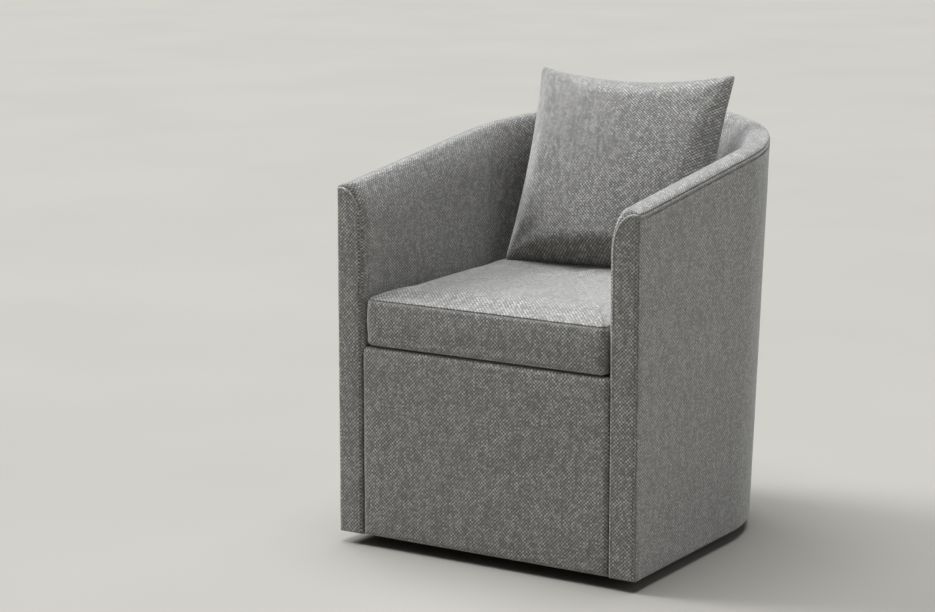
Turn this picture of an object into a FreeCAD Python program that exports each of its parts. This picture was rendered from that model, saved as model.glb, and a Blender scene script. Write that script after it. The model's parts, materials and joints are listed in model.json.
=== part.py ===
"""Barrel-shaped swivel chair: a skirted upholstered shell on a hidden star base with casters.

Part frame, in millimetres: the floor is z = 0, +Z is up and the chair's front faces -Y.  Left and
right are as seen from the front, so left is -X.  The origin is the centre of the footprint.

The shell is one U-shaped wall.  Its outline is two straight sides and a half circle, and the circle's
centre moves back as the wall rises, so the back leans while the front stays upright.  Every layer of
the wall is that outline moved inwards by a constant distance.
"""
import FreeCAD, Part
import math
import operator
import os

import Sketcher
from FreeCAD import Placement, Rotation, Vector

DIMENSIONS = (
    # Shell outline and crest
    ("half_width", 300.0),
    ("front_face", -360.0),
    ("arc_centre", 5.0),
    ("hem", 20.0),
    ("lean", 56.0),
    ("lean_span", 720.0),
    ("crest_front", 636.5),
    ("crest_angle", 7.2),
    ("crest_corner", 24.0),
    ("loft_top", 800.0),
    # Layers of the wall
    ("cover", 3.0),
    ("board", 12.0),
    ("foam", 40.0),
    ("foam_round", 34.0),
    ("hem_turn", 2.0),
    ("facing_depth", 25.0),
    ("facing_round", 42.0),
    ("facing_edge", 10.0),
    ("front_padding", 10.0),
    ("front_top", 361.5),
    # Seat frame
    ("rail_low", 250.0),
    ("rail_high", 340.0),
    ("rail_thick", 25.0),
    ("rail_joint", 20.0),
    ("block_leg", 60.0),
    ("block_inset", 10.0),
    ("stretcher_place", 110.0),
    ("stretcher_back", 262.0),
    ("board_low", 150.0),
    ("board_thick", 18.0),
    ("board_hole", 30.0),
    ("dust_thick", 1.2),
    ("screw_radius", 2.0),
    ("screw_length", 34.0),
    ("screw_head", 4.2),
    ("screw_sink", 2.5),
    # Seat deck
    ("wall_foot", 346.0),
    ("wire", 1.8),
    ("spring_bend", 13.0),
    ("spring_run", 24.0),
    ("spring_pitch", 60.0),
    ("spring_start", -322.0),
    ("deck_low", 346.0),
    ("deck_thick", 16.0),
    ("deck_gap", 0.5),
    # Seat cushion
    ("seat_low", 363.0),
    ("seat_high", 464.0),
    ("seat_gap", 2.0),
    ("seat_setback", 4.0),
    ("seat_corner", 22.0),
    ("seat_top_round", 24.0),
    ("seat_foot_round", 9.0),
    ("ticking", 2.0),
    # Pillow
    ("pillow_half", 190.0),
    ("pillow_thick", 70.0),
    ("pillow_corner", 22.0),
    ("pillow_place_x", -3.0),
    ("pillow_place_y", 126.0),
    ("pillow_place_z", 638.5),
    ("pillow_lean", 26.0),
    ("pillow_turn", 7.0),
    # Swivel
    ("swivel_place", -20.0),
    ("plate_half", 100.0),
    ("plate_corner", 12.0),
    ("plate_low", 144.0),
    ("race_radius", 75.0),
    ("race_thick", 6.0),
    ("race_gap", 4.0),
    ("ball", 4.0),
    ("ball_circle", 60.0),
    ("ball_fit", 0.03),
    ("cage_thick", 1.5),
    ("cage_half", 8.0),
    ("cage_fit", 0.15),
    ("pin", 6.0),
    ("pin_fit", 0.06),
    ("pin_head", 9.5),
    ("pin_head_thick", 7.0),
    ("pin_slack", 0.4),
    ("washer_radius", 12.0),
    ("washer_thick", 2.0),
    ("nut_flats", 9.5),
    ("nut_thick", 8.0),
    ("bolt", 4.0),
    ("bolt_place", 80.0),
    ("bolt_head", 6.5),
    ("bolt_head_thick", 5.5),
    ("tee_barrel", 5.0),
    ("tee_flange", 9.5),
    ("tee_flange_thick", 1.5),
    ("tee_depth", 12.0),
    # Star base
    ("hub_radius", 34.0),
    ("hub_low", 58.0),
    ("hub_high", 108.0),
    ("column_radius", 20.0),
    ("column_bore", 14.0),
    ("column_low", 62.0),
    ("arm_root_half", 20.0),
    ("arm_tip_half", 12.0),
    ("arm_root_start", 24.0),
    ("arm_low", 62.0),
    ("arm_root_high", 104.0),
    ("arm_tip_high", 92.0),
    ("stem_circle", 205.0),
    ("boss_radius", 15.0),
    ("boss_low", 60.0),
    ("socket_high", 90.0),
    ("sleeve_radius", 7.5),
    ("stem_fit", 0.05),
    # Casters
    ("stem_radius", 5.0),
    ("stem_low", 38.0),
    ("stem_high", 88.0),
    ("collar_radius", 9.0),
    ("collar_low", 56.5),
    ("collar_high", 59.4),
    ("trail", 20.0),
    ("wheel_radius", 25.0),
    ("wheel_inner", 7.0),
    ("wheel_width", 16.0),
    ("wheel_edge", 2.5),
    ("wheel_recess", 4.0),
    ("wheel_recess_radius", 18.0),
    ("wheel_boss", 7.0),
    ("axle_radius", 3.0),
    ("axle_fit", 0.05),
    ("hood_radius", 29.0),
    ("hood_half", 23.5),
    ("hood_low", 16.0),
    ("hood_web", 6.5),
    ("hood_clear", 26.4),
    ("hood_boss", 10.0),
    ("hood_boss_low", 36.0),
)

SPRING_ROWS = (-3, -2, -1, 0, 1, 2, 3)
# A spring clip: its share of a spring run's length, then its reach each way, its height and its
# channel's half width and height, in wire radii
CLIP_SHARE = 1 / 3
CLIP_REACH = 3
CLIP_HEIGHT = 2.8
CHANNEL_HALF = 1.1
CHANNEL_HEIGHT = 2.1
# The pillow's sections: depth as a share of its half thickness, and size as a share of its half side
PILLOW_SECTIONS = ((-1.0, 0.42), (-0.55, 0.80), (0.0, 1.0), (0.55, 0.80), (1.0, 0.42))
BALL_COUNT = 16
CASTER_COUNT = 5
CASTER_TURNS = (20.0, 115.0, 200.0, 310.0, 75.0)
SIDES = (("left", -1), ("right", 1))
OPERATORS = {"+": operator.add, "-": operator.sub, "*": operator.mul, "/": operator.truediv}
THROUGH = 2000.0
FRONT_ARM_ANGLE = 270.0

doc = FreeCAD.newDocument("swivel_chair")
sheet = doc.addObject("Spreadsheet::Sheet", "Sheet")
nodes = {}


class Size:
    """A length with the spreadsheet formula that gives it."""

    def __init__(self, value, text):
        self.value = value
        self.text = text

    def __add__(self, other):
        return combine("+", self, other)

    def __radd__(self, other):
        return combine("+", other, self)

    def __sub__(self, other):
        return combine("-", self, other)

    def __rsub__(self, other):
        return combine("-", other, self)

    def __mul__(self, other):
        return combine("*", self, other)

    def __rmul__(self, other):
        return combine("*", other, self)

    def __truediv__(self, other):
        return combine("/", self, other)

    def __neg__(self):
        return combine("*", -1, self)


def as_size(item):
    """Plain numbers may stand in a formula beside named sizes."""
    if isinstance(item, Size):
        return item
    return Size(float(item), "(%r)" % float(item))


def combine(sign, first, second):
    """A formula made of two others."""
    first = as_size(first)
    second = as_size(second)
    value = OPERATORS[sign](first.value, second.value)
    return Size(value, "(%s %s %s)" % (first.text, sign, second.text))


def of_angle(word, function, angle):
    """Sine, cosine or tangent of an angle in degrees."""
    return Size(function(math.radians(angle.value)), "%s(%s * 1deg)" % (word, angle.text))


def write_sheet():
    """Fill the spreadsheet and return the sizes by name."""
    sizes = {}
    for row, (alias, value) in enumerate(DIMENSIONS, start=1):
        sheet.set("A%d" % row, alias)
        sheet.set("B%d" % row, repr(value))
        sheet.setAlias("B%d" % row, alias)
        sizes[alias] = Size(value, "Sheet.%s" % alias)
    doc.recompute()
    return sizes


D = write_sheet()
SLOPE = of_angle("tan", math.tan, D["crest_angle"])


# ---------------------------------------------------------------------------------------------
# Small helpers: binding, sketches and features
# ---------------------------------------------------------------------------------------------

def bind(item, prop, size):
    """Tie a property to its formula."""
    item.setExpression(prop, as_size(size).text)


def place(item, x=None, y=None, z=None):
    """Put an object at a place given by formulas."""
    for axis, size in (("x", x), ("y", y), ("z", z)):
        if size is not None:
            bind(item, "Placement.Base.%s" % axis, size)


def keep(label, item):
    """Name an object as one of the chair's pieces."""
    item.Label = label
    nodes[label] = item
    return item


def new_body(name):
    return doc.addObject("PartDesign::Body", name)


def origin_item(body, role):
    """A body's own origin plane or axis."""
    for feature in body.Origin.OriginFeatures:
        if feature.Role == role:
            return feature
    raise RuntimeError("no %s in %s" % (role, body.Name))


def add_sketch(body, plane, level=None):
    """A sketch on one of the body's planes, moved along its normal by a formula."""
    sketch = body.newObject("Sketcher::SketchObject", "Sketch")
    sketch.AttachmentSupport = [(origin_item(body, plane), "")]
    sketch.MapMode = "FlatFace"
    if level is not None:
        bind(sketch, "AttachmentOffset.Base.z", level)
    return sketch


def constrain(sketch, kind, geometry, point, size):
    """One signed distance from the sketch's origin, tied to its formula."""
    if abs(size.value) < 1e-9:
        axis = -2 if kind == "DistanceX" else -1
        sketch.addConstraint(Sketcher.Constraint("PointOnObject", geometry, point, axis))
        return
    index = sketch.addConstraint(Sketcher.Constraint(kind, -1, 1, geometry, point, size.value))
    sketch.setExpression("Constraints[%d]" % index, size.text)


def corner(x, y, centre=None, turn=1):
    """An outline's corner; with a centre, it is reached by an arc that turns that way (1 is left)."""
    if centre is not None:
        centre = (as_size(centre[0]), as_size(centre[1]))
    return {"x": as_size(x), "y": as_size(y), "centre": centre, "turn": turn}


def add_side(sketch, here, there):
    """One line or arc of an outline: its geometry and which of its points is the start."""
    start = Vector(here["x"].value, here["y"].value, 0)
    end = Vector(there["x"].value, there["y"].value, 0)
    if there["centre"] is None:
        return sketch.addGeometry(Part.LineSegment(start, end)), 1
    middle = Vector(there["centre"][0].value, there["centre"][1].value, 0)
    if there["turn"] < 0:
        start, end = end, start
    first = math.atan2(start.y - middle.y, start.x - middle.x)
    last = math.atan2(end.y - middle.y, end.x - middle.x)
    if last <= first:
        last += 2 * math.pi
    circle = Part.Circle(middle, Vector(0, 0, 1), (start - middle).Length)
    geometry = sketch.addGeometry(Part.ArcOfCircle(circle, first, last))
    return geometry, 1 if there["turn"] > 0 else 2


def draw(sketch, corners):
    """A closed outline whose every corner is tied to its formula."""
    sides = []
    for number, here in enumerate(corners):
        there = corners[(number + 1) % len(corners)]
        sides.append(add_side(sketch, here, there) + (there,))
    for number, (geometry, start, there) in enumerate(sides):
        following, its_start, _ = sides[(number + 1) % len(sides)]
        joint = Sketcher.Constraint("Coincident", geometry, 3 - start, following, its_start)
        sketch.addConstraint(joint)
        constrain(sketch, "DistanceX", following, its_start, there["x"])
        constrain(sketch, "DistanceY", following, its_start, there["y"])
        if there["centre"] is not None:
            fix_centre(sketch, geometry, corners[number], there)


def fix_centre(sketch, geometry, here, there):
    """An arc between two fixed corners needs one more size: its centre along the free direction."""
    wide = abs(there["x"].value - here["x"].value)
    tall = abs(there["y"].value - here["y"].value)
    if wide >= tall:
        constrain(sketch, "DistanceY", geometry, 3, there["centre"][1])
    else:
        constrain(sketch, "DistanceX", geometry, 3, there["centre"][0])


def draw_circle(sketch, x, y, radius):
    """A circle with its centre and radius tied to formulas."""
    x, y, radius = as_size(x), as_size(y), as_size(radius)
    circle = Part.Circle(Vector(x.value, y.value, 0), Vector(0, 0, 1), radius.value)
    geometry = sketch.addGeometry(circle)
    constrain(sketch, "DistanceX", geometry, 3, x)
    constrain(sketch, "DistanceY", geometry, 3, y)
    index = sketch.addConstraint(Sketcher.Constraint("Radius", geometry, radius.value))
    sketch.setExpression("Constraints[%d]" % index, radius.text)


def rectangle(x0, x1, y0, y1):
    """Corners of an upright rectangle."""
    return [corner(x0, y0), corner(x1, y0), corner(x1, y1), corner(x0, y1)]


def rounded_rectangle(half_x, half_y, radius):
    """Corners of a centred rectangle with rounded corners."""
    in_x = half_x - radius
    in_y = half_y - radius
    return [
        corner(in_x, -half_y),
        corner(half_x, -in_y, centre=(in_x, -in_y)), corner(half_x, in_y),
        corner(in_x, half_y, centre=(in_x, in_y)), corner(-in_x, half_y),
        corner(-half_x, in_y, centre=(-in_x, in_y)), corner(-half_x, -in_y),
        corner(-in_x, -half_y, centre=(-in_x, -in_y)),
    ]


def pad(body, sketch, length, symmetric=False, reverse=False):
    feature = body.newObject("PartDesign::Pad", "Pad")
    feature.Profile = sketch
    bind(feature, "Length", length)
    feature.Midplane = symmetric
    feature.Reversed = reverse
    return feature


def pocket(body, sketch, length, symmetric=False, reverse=False):
    feature = body.newObject("PartDesign::Pocket", "Pocket")
    feature.Profile = sketch
    bind(feature, "Length", length)
    feature.Midplane = symmetric
    feature.Reversed = reverse
    return feature


def loft(body, sketches):
    feature = body.newObject("PartDesign::AdditiveLoft", "Loft")
    feature.Profile = sketches[0]
    feature.Sections = sketches[1:]
    feature.Ruled = True
    return feature


def fillet(body, base, edges, radius):
    """Round the named edges of the body's last feature."""
    feature = body.newObject("PartDesign::Fillet", "Fillet")
    feature.Base = (base, edges)
    bind(feature, "Radius", radius)
    return feature


def edges_where(shape, test):
    """Names of the edges whose ends and middle all pass a test."""
    names = []
    for number, edge in enumerate(shape.Edges, start=1):
        first, last = edge.ParameterRange
        points = [edge.valueAt(first + share * (last - first)) for share in (0.02, 0.5, 0.98)]
        if all(test(point) for point in points):
            names.append("Edge%d" % number)
    return names


def box(name, x, y, z):
    """A Part box between pairs of formulas."""
    item = doc.addObject("Part::Box", name)
    for prop, (low, high) in (("Length", x), ("Width", y), ("Height", z)):
        bind(item, prop, as_size(high) - low)
    place(item, as_size(x[0]), as_size(y[0]), as_size(z[0]))
    return item


def cylinder(name, radius, low, high, x=0, y=0):
    """An upright Part cylinder between two heights."""
    item = doc.addObject("Part::Cylinder", name)
    bind(item, "Radius", radius)
    bind(item, "Height", as_size(high) - low)
    place(item, as_size(x), as_size(y), as_size(low))
    return item


def prism(name, flats, low, high, x=0, y=0):
    """An upright hexagonal prism, such as a nut or a bolt's head, by its corner radius."""
    item = doc.addObject("Part::Prism", name)
    item.Polygon = 6
    bind(item, "Circumradius", flats)
    bind(item, "Height", as_size(high) - low)
    place(item, as_size(x), as_size(y), as_size(low))
    return item


def cut(name, base, tool):
    item = doc.addObject("Part::Cut", name)
    item.Base = base
    item.Tool = tool
    return item


def fuse(name, pieces):
    item = doc.addObject("Part::MultiFuse", name)
    item.Shapes = pieces
    return item


def group(name, pieces):
    """Separate solids that share one node."""
    item = doc.addObject("Part::Compound", name)
    item.Links = pieces
    return item


# ---------------------------------------------------------------------------------------------
# The wall: rings between two offsets of the outline
# ---------------------------------------------------------------------------------------------

def centre_at(level):
    """Where the half circle's centre lies, front to back, at a height."""
    return D["arc_centre"] + D["lean"] * (level - D["hem"]) / D["lean_span"]


def crest_at(y):
    """Height of the crest line above a point of the side view."""
    return D["crest_front"] + SLOPE * (y - D["front_face"])


def ring_corners(outer, inner, start, level):
    """The U outline between two inward offsets, from the wall's front end."""
    centre = centre_at(level)
    wide = D["half_width"] - outer
    narrow = D["half_width"] - inner
    middle = (0, centre)
    return [
        corner(wide, start), corner(wide, centre),
        corner(-wide, centre, centre=middle), corner(-wide, start),
        corner(-narrow, start), corner(-narrow, centre),
        corner(narrow, centre, centre=middle, turn=-1), corner(narrow, start),
    ]


def wall_ring(body, outer, inner, low, high, start):
    """One layer of the leaning wall."""
    sketches = []
    for level in (low, high):
        sketch = add_sketch(body, "XY_Plane", level)
        draw(sketch, ring_corners(outer, inner, start, level))
        sketches.append(sketch)
    return loft(body, sketches)


def trim_to_crest(body, drop):
    """Cut away what stands above the crest, which falls in a small round to the front face."""
    sine = of_angle("sin", math.sin, D["crest_angle"])
    cosine = of_angle("cos", math.cos, D["crest_angle"])
    radius = D["crest_corner"]
    turn_y = D["front_face"] + radius
    turn_z = crest_at(turn_y) - drop - radius / cosine
    far = D["front_face"] + THROUGH
    sketch = add_sketch(body, "YZ_Plane")
    draw(sketch, [
        corner(D["front_face"] - radius, turn_z),
        corner(D["front_face"], turn_z),
        corner(turn_y - radius * sine, turn_z + radius * cosine, centre=(turn_y, turn_z), turn=-1),
        corner(far, crest_at(far) - drop),
        corner(far, D["loft_top"] + THROUGH),
        corner(D["front_face"] - radius, D["loft_top"] + THROUGH),
    ])
    return pocket(body, sketch, as_size(THROUGH), symmetric=True)


def wall_body(name, outer, inner, low, drop, start):
    """A wall layer cut to the crest."""
    body = new_body(name)
    wall_ring(body, outer, inner, low, D["loft_top"], start)
    trim_to_crest(body, drop)
    return body


def round_inner_crest(body, inner, drop, radius):
    """Round the edge between a layer's top and its inner face."""
    doc.recompute()
    narrow = D["half_width"].value - inner.value

    def on_edge(point):
        centre = centre_at(as_size(point.z)).value
        inside = abs(point.x) if point.y < centre else math.hypot(point.x, point.y - centre)
        height = crest_at(as_size(point.y)).value - drop.value
        return abs(inside - narrow) < 0.05 and abs(point.z - height) < 0.05

    edges = edges_where(body.Shape, on_edge)
    fillet(body, body.Tip, edges, radius)


def wall_start():
    return D["front_face"] + D["facing_depth"]


def make_outside_cover():
    """Fabric on the outside, turned in under the hem."""
    body = wall_body("OutsideCover", as_size(0), D["cover"], D["hem"], as_size(0), wall_start())
    turn = add_sketch(body, "XY_Plane", D["hem"])
    draw(turn, ring_corners(D["cover"] / 2, D["cover"] + D["board"], wall_start(), D["hem"]))
    pad(body, turn, D["hem_turn"])
    keep("outside_cover", body)


def make_shell_board():
    """The bent board that carries the whole wall."""
    low = D["hem"] + D["hem_turn"]
    inner = D["cover"] + D["board"]
    keep("shell_board", wall_body("ShellBoard", D["cover"], inner, low, D["cover"], wall_start()))


def make_arm_back_foam():
    outer = D["cover"] + D["board"]
    inner = outer + D["foam"]
    body = wall_body("ArmBackFoam", outer, inner, D["wall_foot"], D["cover"], wall_start())
    round_inner_crest(body, inner, D["cover"], D["foam_round"])
    keep("arm_back_foam", body)


def make_inside_cover():
    """Fabric over the foam and the crest: an envelope less the wall that it wraps."""
    core_inner = D["cover"] + D["board"] + D["foam"]
    outer = wall_body("InsideOuter", D["cover"], core_inner + D["cover"], D["wall_foot"], as_size(0),
                      wall_start())
    round_inner_crest(outer, core_inner + D["cover"], as_size(0), D["foam_round"] + D["cover"])
    core = wall_body("InsideCore", D["cover"], core_inner, D["wall_foot"] - D["cover"], D["cover"],
                     wall_start())
    round_inner_crest(core, core_inner, D["cover"], D["foam_round"])
    keep("inside_cover", cut("InsideCover", outer, core))


def make_arm_facings():
    """The padded upright panels that close the wall's two front ends."""
    inner = D["half_width"] - D["cover"] * 2 - D["board"] - D["foam"]
    top = D["crest_front"] + D["cover"]
    for name, side in SIDES:
        body = new_body("ArmFacing_" + name)
        sketch = add_sketch(body, "XZ_Plane", -wall_start())
        radius = D["facing_round"]
        draw(sketch, [
            corner(side * inner, D["hem"]),
            corner(side * D["half_width"], D["hem"]),
            corner(side * D["half_width"], top),
            corner(side * (inner + radius), top),
            corner(side * inner, top - radius, centre=(side * (inner + radius), top - radius), turn=side),
        ])
        pad(body, sketch, D["facing_depth"])
        trim_to_crest(body, as_size(0))
        doc.recompute()
        edge_x = side * D["half_width"].value

        def on_edge(point):
            return abs(point.x - edge_x) < 0.01 and abs(point.y - D["front_face"].value) < 0.01

        fillet(body, body.Tip, edges_where(body.Shape, on_edge), D["facing_edge"])
        keep("arm_facing_" + name, body)


# ---------------------------------------------------------------------------------------------
# Front panel and seat frame
# ---------------------------------------------------------------------------------------------

def make_front_panel():
    """Board, padding and fabric between the arms, below the seat cushion."""
    half = D["half_width"] - D["cover"] * 2 - D["board"] - D["foam"]
    back = wall_start()
    low = D["hem"] + D["hem_turn"]
    high = D["front_top"] - D["cover"]
    pad_back = D["front_face"] + D["cover"] + D["front_padding"]
    wide = (-half, half)
    keep("front_board", box("FrontBoard", wide, (pad_back, back), (low, high)))
    keep("front_padding", box("FrontPadding", wide, (D["front_face"] + D["cover"], pad_back), (low, high)))
    outer = box("FrontCoverOuter", wide, (D["front_face"], back), (D["hem"], D["front_top"]))
    inner = box("FrontCoverInner", wide, (D["front_face"] + D["cover"], back + D["cover"]), (low, high))
    keep("front_cover", cut("FrontCover", outer, inner))


def frame_half():
    """Half the width inside the shell board."""
    return D["half_width"] - D["cover"] - D["board"]


def make_rails():
    """Front and side rails, and the bent rail round the back."""
    levels = (D["rail_low"], D["rail_high"])
    front = wall_start()
    thick = D["rail_thick"]
    keep("front_rail", box("FrontRail", (-frame_half(), frame_half()), (front, front + thick), levels))
    for name, side in SIDES:
        low_x = frame_half() - thick if side > 0 else -frame_half()
        rail = box("SideRail_" + name, (low_x, low_x + thick), (front + thick, D["rail_joint"]), levels)
        keep("side_rail_" + name, rail)
    outer = D["cover"] + D["board"]
    body = new_body("BackRail")
    wall_ring(body, outer, outer + thick, D["rail_low"], D["rail_high"], D["rail_joint"])
    keep("back_rail", body)


def make_corner_blocks():
    """Glued triangular blocks in the two front corners of the rails."""
    blocks = []
    edge_y = wall_start() + D["rail_thick"]
    for name, side in SIDES:
        edge_x = side * (frame_half() - D["rail_thick"])
        body = new_body("CornerBlock_" + name)
        sketch = add_sketch(body, "XY_Plane", D["rail_low"] + D["block_inset"])
        draw(sketch, [
            corner(edge_x, edge_y),
            corner(edge_x, edge_y + D["block_leg"]),
            corner(edge_x - side * D["block_leg"], edge_y),
        ])
        pad(body, sketch, D["rail_high"] - D["rail_low"] - 2 * D["block_inset"])
        blocks.append(body)
    keep("corner_blocks", group("CornerBlocks", blocks))


def d_corners(half, front, centre):
    """A D outline: straight front and sides, half circle at the back."""
    return [
        corner(half, front), corner(half, centre),
        corner(-half, centre, centre=(0, centre)), corner(-half, front),
    ]


def d_board(name, half, front, centre, low, thick):
    """A flat D-shaped piece."""
    body = new_body(name)
    sketch = add_sketch(body, "XY_Plane", low)
    draw(sketch, d_corners(half, front, centre))
    pad(body, sketch, thick)
    return body


def bolt_places():
    """Centres of the four swivel bolts."""
    reach = D["bolt_place"]
    return [(x * reach, D["swivel_place"] + y * reach) for x in (-1, 1) for y in (-1, 1)]


def make_swivel_board():
    """The board that carries the swivel, with a well for the pin's nut and holes for the tee nuts."""
    low = D["board_low"]
    high = low + D["board_thick"]
    body = d_board("SwivelBoard", frame_half(), wall_start(), centre_at(low), low, D["board_thick"])
    holes = add_sketch(body, "XY_Plane", high)
    draw_circle(holes, 0, D["swivel_place"], D["board_hole"])
    for x, y in bolt_places():
        draw_circle(holes, x, y, D["tee_barrel"])
    pocket(body, holes, 2 * D["board_thick"], symmetric=True)
    keep("swivel_board", body)


def make_stretchers():
    """Two boards on edge that join the swivel board to the rails."""
    levels = (D["board_low"] + D["board_thick"], D["rail_low"])
    boards = []
    for name, side in SIDES:
        low_x = D["stretcher_place"] if side > 0 else -D["stretcher_place"] - D["rail_thick"]
        places = (low_x, low_x + D["rail_thick"])
        boards.append(box("Stretcher_" + name, places, (wall_start(), D["stretcher_back"]), levels))
    keep("stretchers", group("Stretchers", boards))


def make_dust_cover():
    """Thin cloth under the swivel board, cut out round the swivel plate."""
    low = D["board_low"] - D["dust_thick"]
    sheet_body = d_board("DustSheet", frame_half(), wall_start(), centre_at(low), low, D["dust_thick"])
    reach = D["plate_half"] + D["cover"]
    middle = D["swivel_place"]
    window = box("DustWindow", (-reach, reach), (middle - reach, middle + reach),
                 (low - D["dust_thick"], low + 2 * D["dust_thick"]))
    keep("dust_cover", cut("DustCover", sheet_body, window))


def side_screw(name, side, y, level):
    """A wood screw driven inwards through the shell board into a side rail."""
    screw = doc.addObject("Part::Cylinder", name + "_Shank")
    bind(screw, "Radius", D["screw_radius"])
    bind(screw, "Height", D["screw_length"] - D["screw_sink"])
    head = doc.addObject("Part::Cone", name + "_Head")
    bind(head, "Radius1", D["screw_head"])
    bind(head, "Radius2", D["screw_radius"])
    bind(head, "Height", D["screw_sink"])
    face = D["half_width"] - D["cover"]
    inward = Rotation(Vector(0, 1, 0), -90.0 * side)
    for item, depth in ((head, as_size(0)), (screw, D["screw_sink"])):
        item.Placement = Placement(Vector(0, 0, 0), inward)
        place(item, side * (face - depth), as_size(y), as_size(level))
    return fuse(name, [head, screw])


def make_frame_screws():
    """Four screws through the shell board into each side rail."""
    screws = []
    margin = D["rail_thick"]
    for name, side in SIDES:
        for y_name, y in (("Fore", wall_start() + 3 * margin), ("Aft", D["rail_joint"] - 2 * margin)):
            for z_name, level in (("Low", D["rail_low"] + margin), ("High", D["rail_high"] - margin)):
                screws.append(side_screw("Screw_%s%s%s" % (name, y_name, z_name), side, y, level))
    keep("frame_screws", group("FrameScrews", screws))


# ---------------------------------------------------------------------------------------------
# Springs and deck
# ---------------------------------------------------------------------------------------------

def spring_wire(row):
    """One flat zigzag spring: cross runs joined by half circles, from the front rail to the back."""
    bend = D["spring_bend"].value
    half_run = D["spring_run"].value / 2
    middle = row * D["spring_pitch"].value
    level = D["rail_high"].value + D["wire"].value
    inner = frame_half().value - D["rail_thick"].value / 2
    far = centre_at(D["rail_low"]).value + math.sqrt(inner ** 2 - (abs(middle) + half_run) ** 2)
    count = int((far - D["spring_start"].value) / (2 * bend))
    pieces = []
    y = D["spring_start"].value
    side = 1
    for _ in range(count):
        start = Vector(middle - side * half_run, y, level)
        end = Vector(middle + side * half_run, y, level)
        pieces.append(Part.LineSegment(start, end).toShape())
        outmost = Vector(end.x + side * bend, y + bend, level)
        pieces.append(Part.Arc(end, outmost, Vector(end.x, y + 2 * bend, level)).toShape())
        y += 2 * bend
        side = -side
    start = Vector(middle - side * half_run, y, level)
    pieces.append(Part.LineSegment(start, Vector(middle + side * half_run, y, level)).toShape())
    path = Part.Wire(pieces)
    first = pieces[0].Vertexes[0].Point
    ring = Part.Wire(Part.makeCircle(D["wire"].value, first, Vector(1, 0, 0)))
    return path.makePipeShell([ring], True, False), y


def make_springs():
    """The zigzag springs and the clips that hold their ends on the rails."""
    solids = []
    clips = []
    for row in SPRING_ROWS:
        solid, far = spring_wire(row)
        solids.append(solid)
        for end, y in (("Fore", D["spring_start"].value), ("Aft", far)):
            clips.append(spring_clip("Clip%s%d" % (end, row + len(SPRING_ROWS)), row, y))
    springs = doc.addObject("Part::Feature", "SinuousSprings")
    springs.Shape = Part.Compound(solids)
    springs.Placement = Placement(Vector(0, 0, 0), Rotation())
    keep("sinuous_springs", springs)
    keep("spring_clips", group("SpringClips", clips))


def spring_clip(name, row, y):
    """A bent steel clip over a spring's end run."""
    middle = row * D["spring_pitch"]
    half = D["spring_run"] * CLIP_SHARE
    wire = D["wire"]
    low = D["rail_high"]
    shell = box(name + "_Shell", (middle - half, middle + half),
                (y - CLIP_REACH * wire, y + CLIP_REACH * wire), (low, low + wire * CLIP_HEIGHT))
    bore = wire * CHANNEL_HALF
    channel = box(name + "_Channel", (middle - 2 * half, middle + 2 * half), (y - bore, y + bore),
                  (low - wire, low + wire * CHANNEL_HEIGHT))
    return cut(name, shell, channel)


def make_deck():
    """The felt and cloth pad on the springs, under the loose cushion."""
    half = D["half_width"] - D["cover"] * 2 - D["board"] - D["foam"] - D["deck_gap"]
    centre = centre_at(D["deck_low"])
    keep("deck_pad", d_board("DeckPad", half, wall_start(), centre, D["deck_low"], D["deck_thick"]))


# ---------------------------------------------------------------------------------------------
# Loose seat cushion and pillow
# ---------------------------------------------------------------------------------------------

def cushion_body(name, inset):
    """The D-shaped cushion, made smaller all round by an inset."""
    half = D["half_width"] - D["cover"] * 2 - D["board"] - D["foam"] - D["seat_gap"] - inset
    front = D["front_face"] + D["seat_setback"] + inset
    low = D["seat_low"] + inset
    high = D["seat_high"] - inset
    body = d_board(name, half, front, centre_at(D["seat_low"]), low, high - low)
    doc.recompute()

    def upright(point):
        return abs(abs(point.x) - half.value) < 0.01 and abs(point.y - front.value) < 0.01

    fillet(body, body.Tip, edges_where(body.Shape, upright), D["seat_corner"] - inset)
    for level, radius in ((high, D["seat_top_round"]), (low, D["seat_foot_round"])):
        doc.recompute()
        edges = edges_where(body.Shape, lambda point: abs(point.z - level.value) < 0.01)
        fillet(body, body.Tip, edges, radius - inset)
    return body


def make_seat_cushion():
    cover = cushion_body("SeatOuter", as_size(0))
    core = keep("seat_cushion_core", cushion_body("SeatCore", D["ticking"]))
    keep("seat_cushion_cover", cut("SeatCover", cover, core))


def pillow_body(name, inset):
    """A square knife-edge pillow: sections that shrink as they leave the middle plane."""
    body = new_body(name)
    sections = []
    for depth, share in PILLOW_SECTIONS:
        level = depth * (D["pillow_thick"] - inset)
        half = share * (D["pillow_half"] - 2 * inset)
        sketch = add_sketch(body, "XZ_Plane", level)
        draw(sketch, rounded_rectangle(half, half, D["pillow_corner"]))
        sections.append(sketch)
    loft(body, sections)
    lean = Rotation(Vector(1, 0, 0), -D["pillow_lean"].value)
    turn = Rotation(Vector(0, 0, 1), D["pillow_turn"].value)
    body.Placement = Placement(Vector(0, 0, 0), turn.multiply(lean))
    place(body, D["pillow_place_x"], D["pillow_place_y"], D["pillow_place_z"])
    return body


def make_pillow():
    cover = pillow_body("PillowOuter", as_size(0))
    insert = keep("pillow_insert", pillow_body("PillowInsert", D["ticking"]))
    keep("pillow_cover", cut("PillowCover", cover, insert))


# ---------------------------------------------------------------------------------------------
# Swivel
# ---------------------------------------------------------------------------------------------

def turned_body(name, profile):
    """A solid of revolution about the swivel axis, from corners given as radius and height."""
    body = new_body(name)
    sketch = add_sketch(body, "XZ_Plane")
    draw(sketch, profile)
    feature = body.newObject("PartDesign::Revolution", "Revolution")
    feature.Profile = sketch
    feature.ReferenceAxis = (origin_item(body, "Z_Axis"), [""])
    feature.Angle = 360.0
    place(body, y=D["swivel_place"])
    return body


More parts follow.
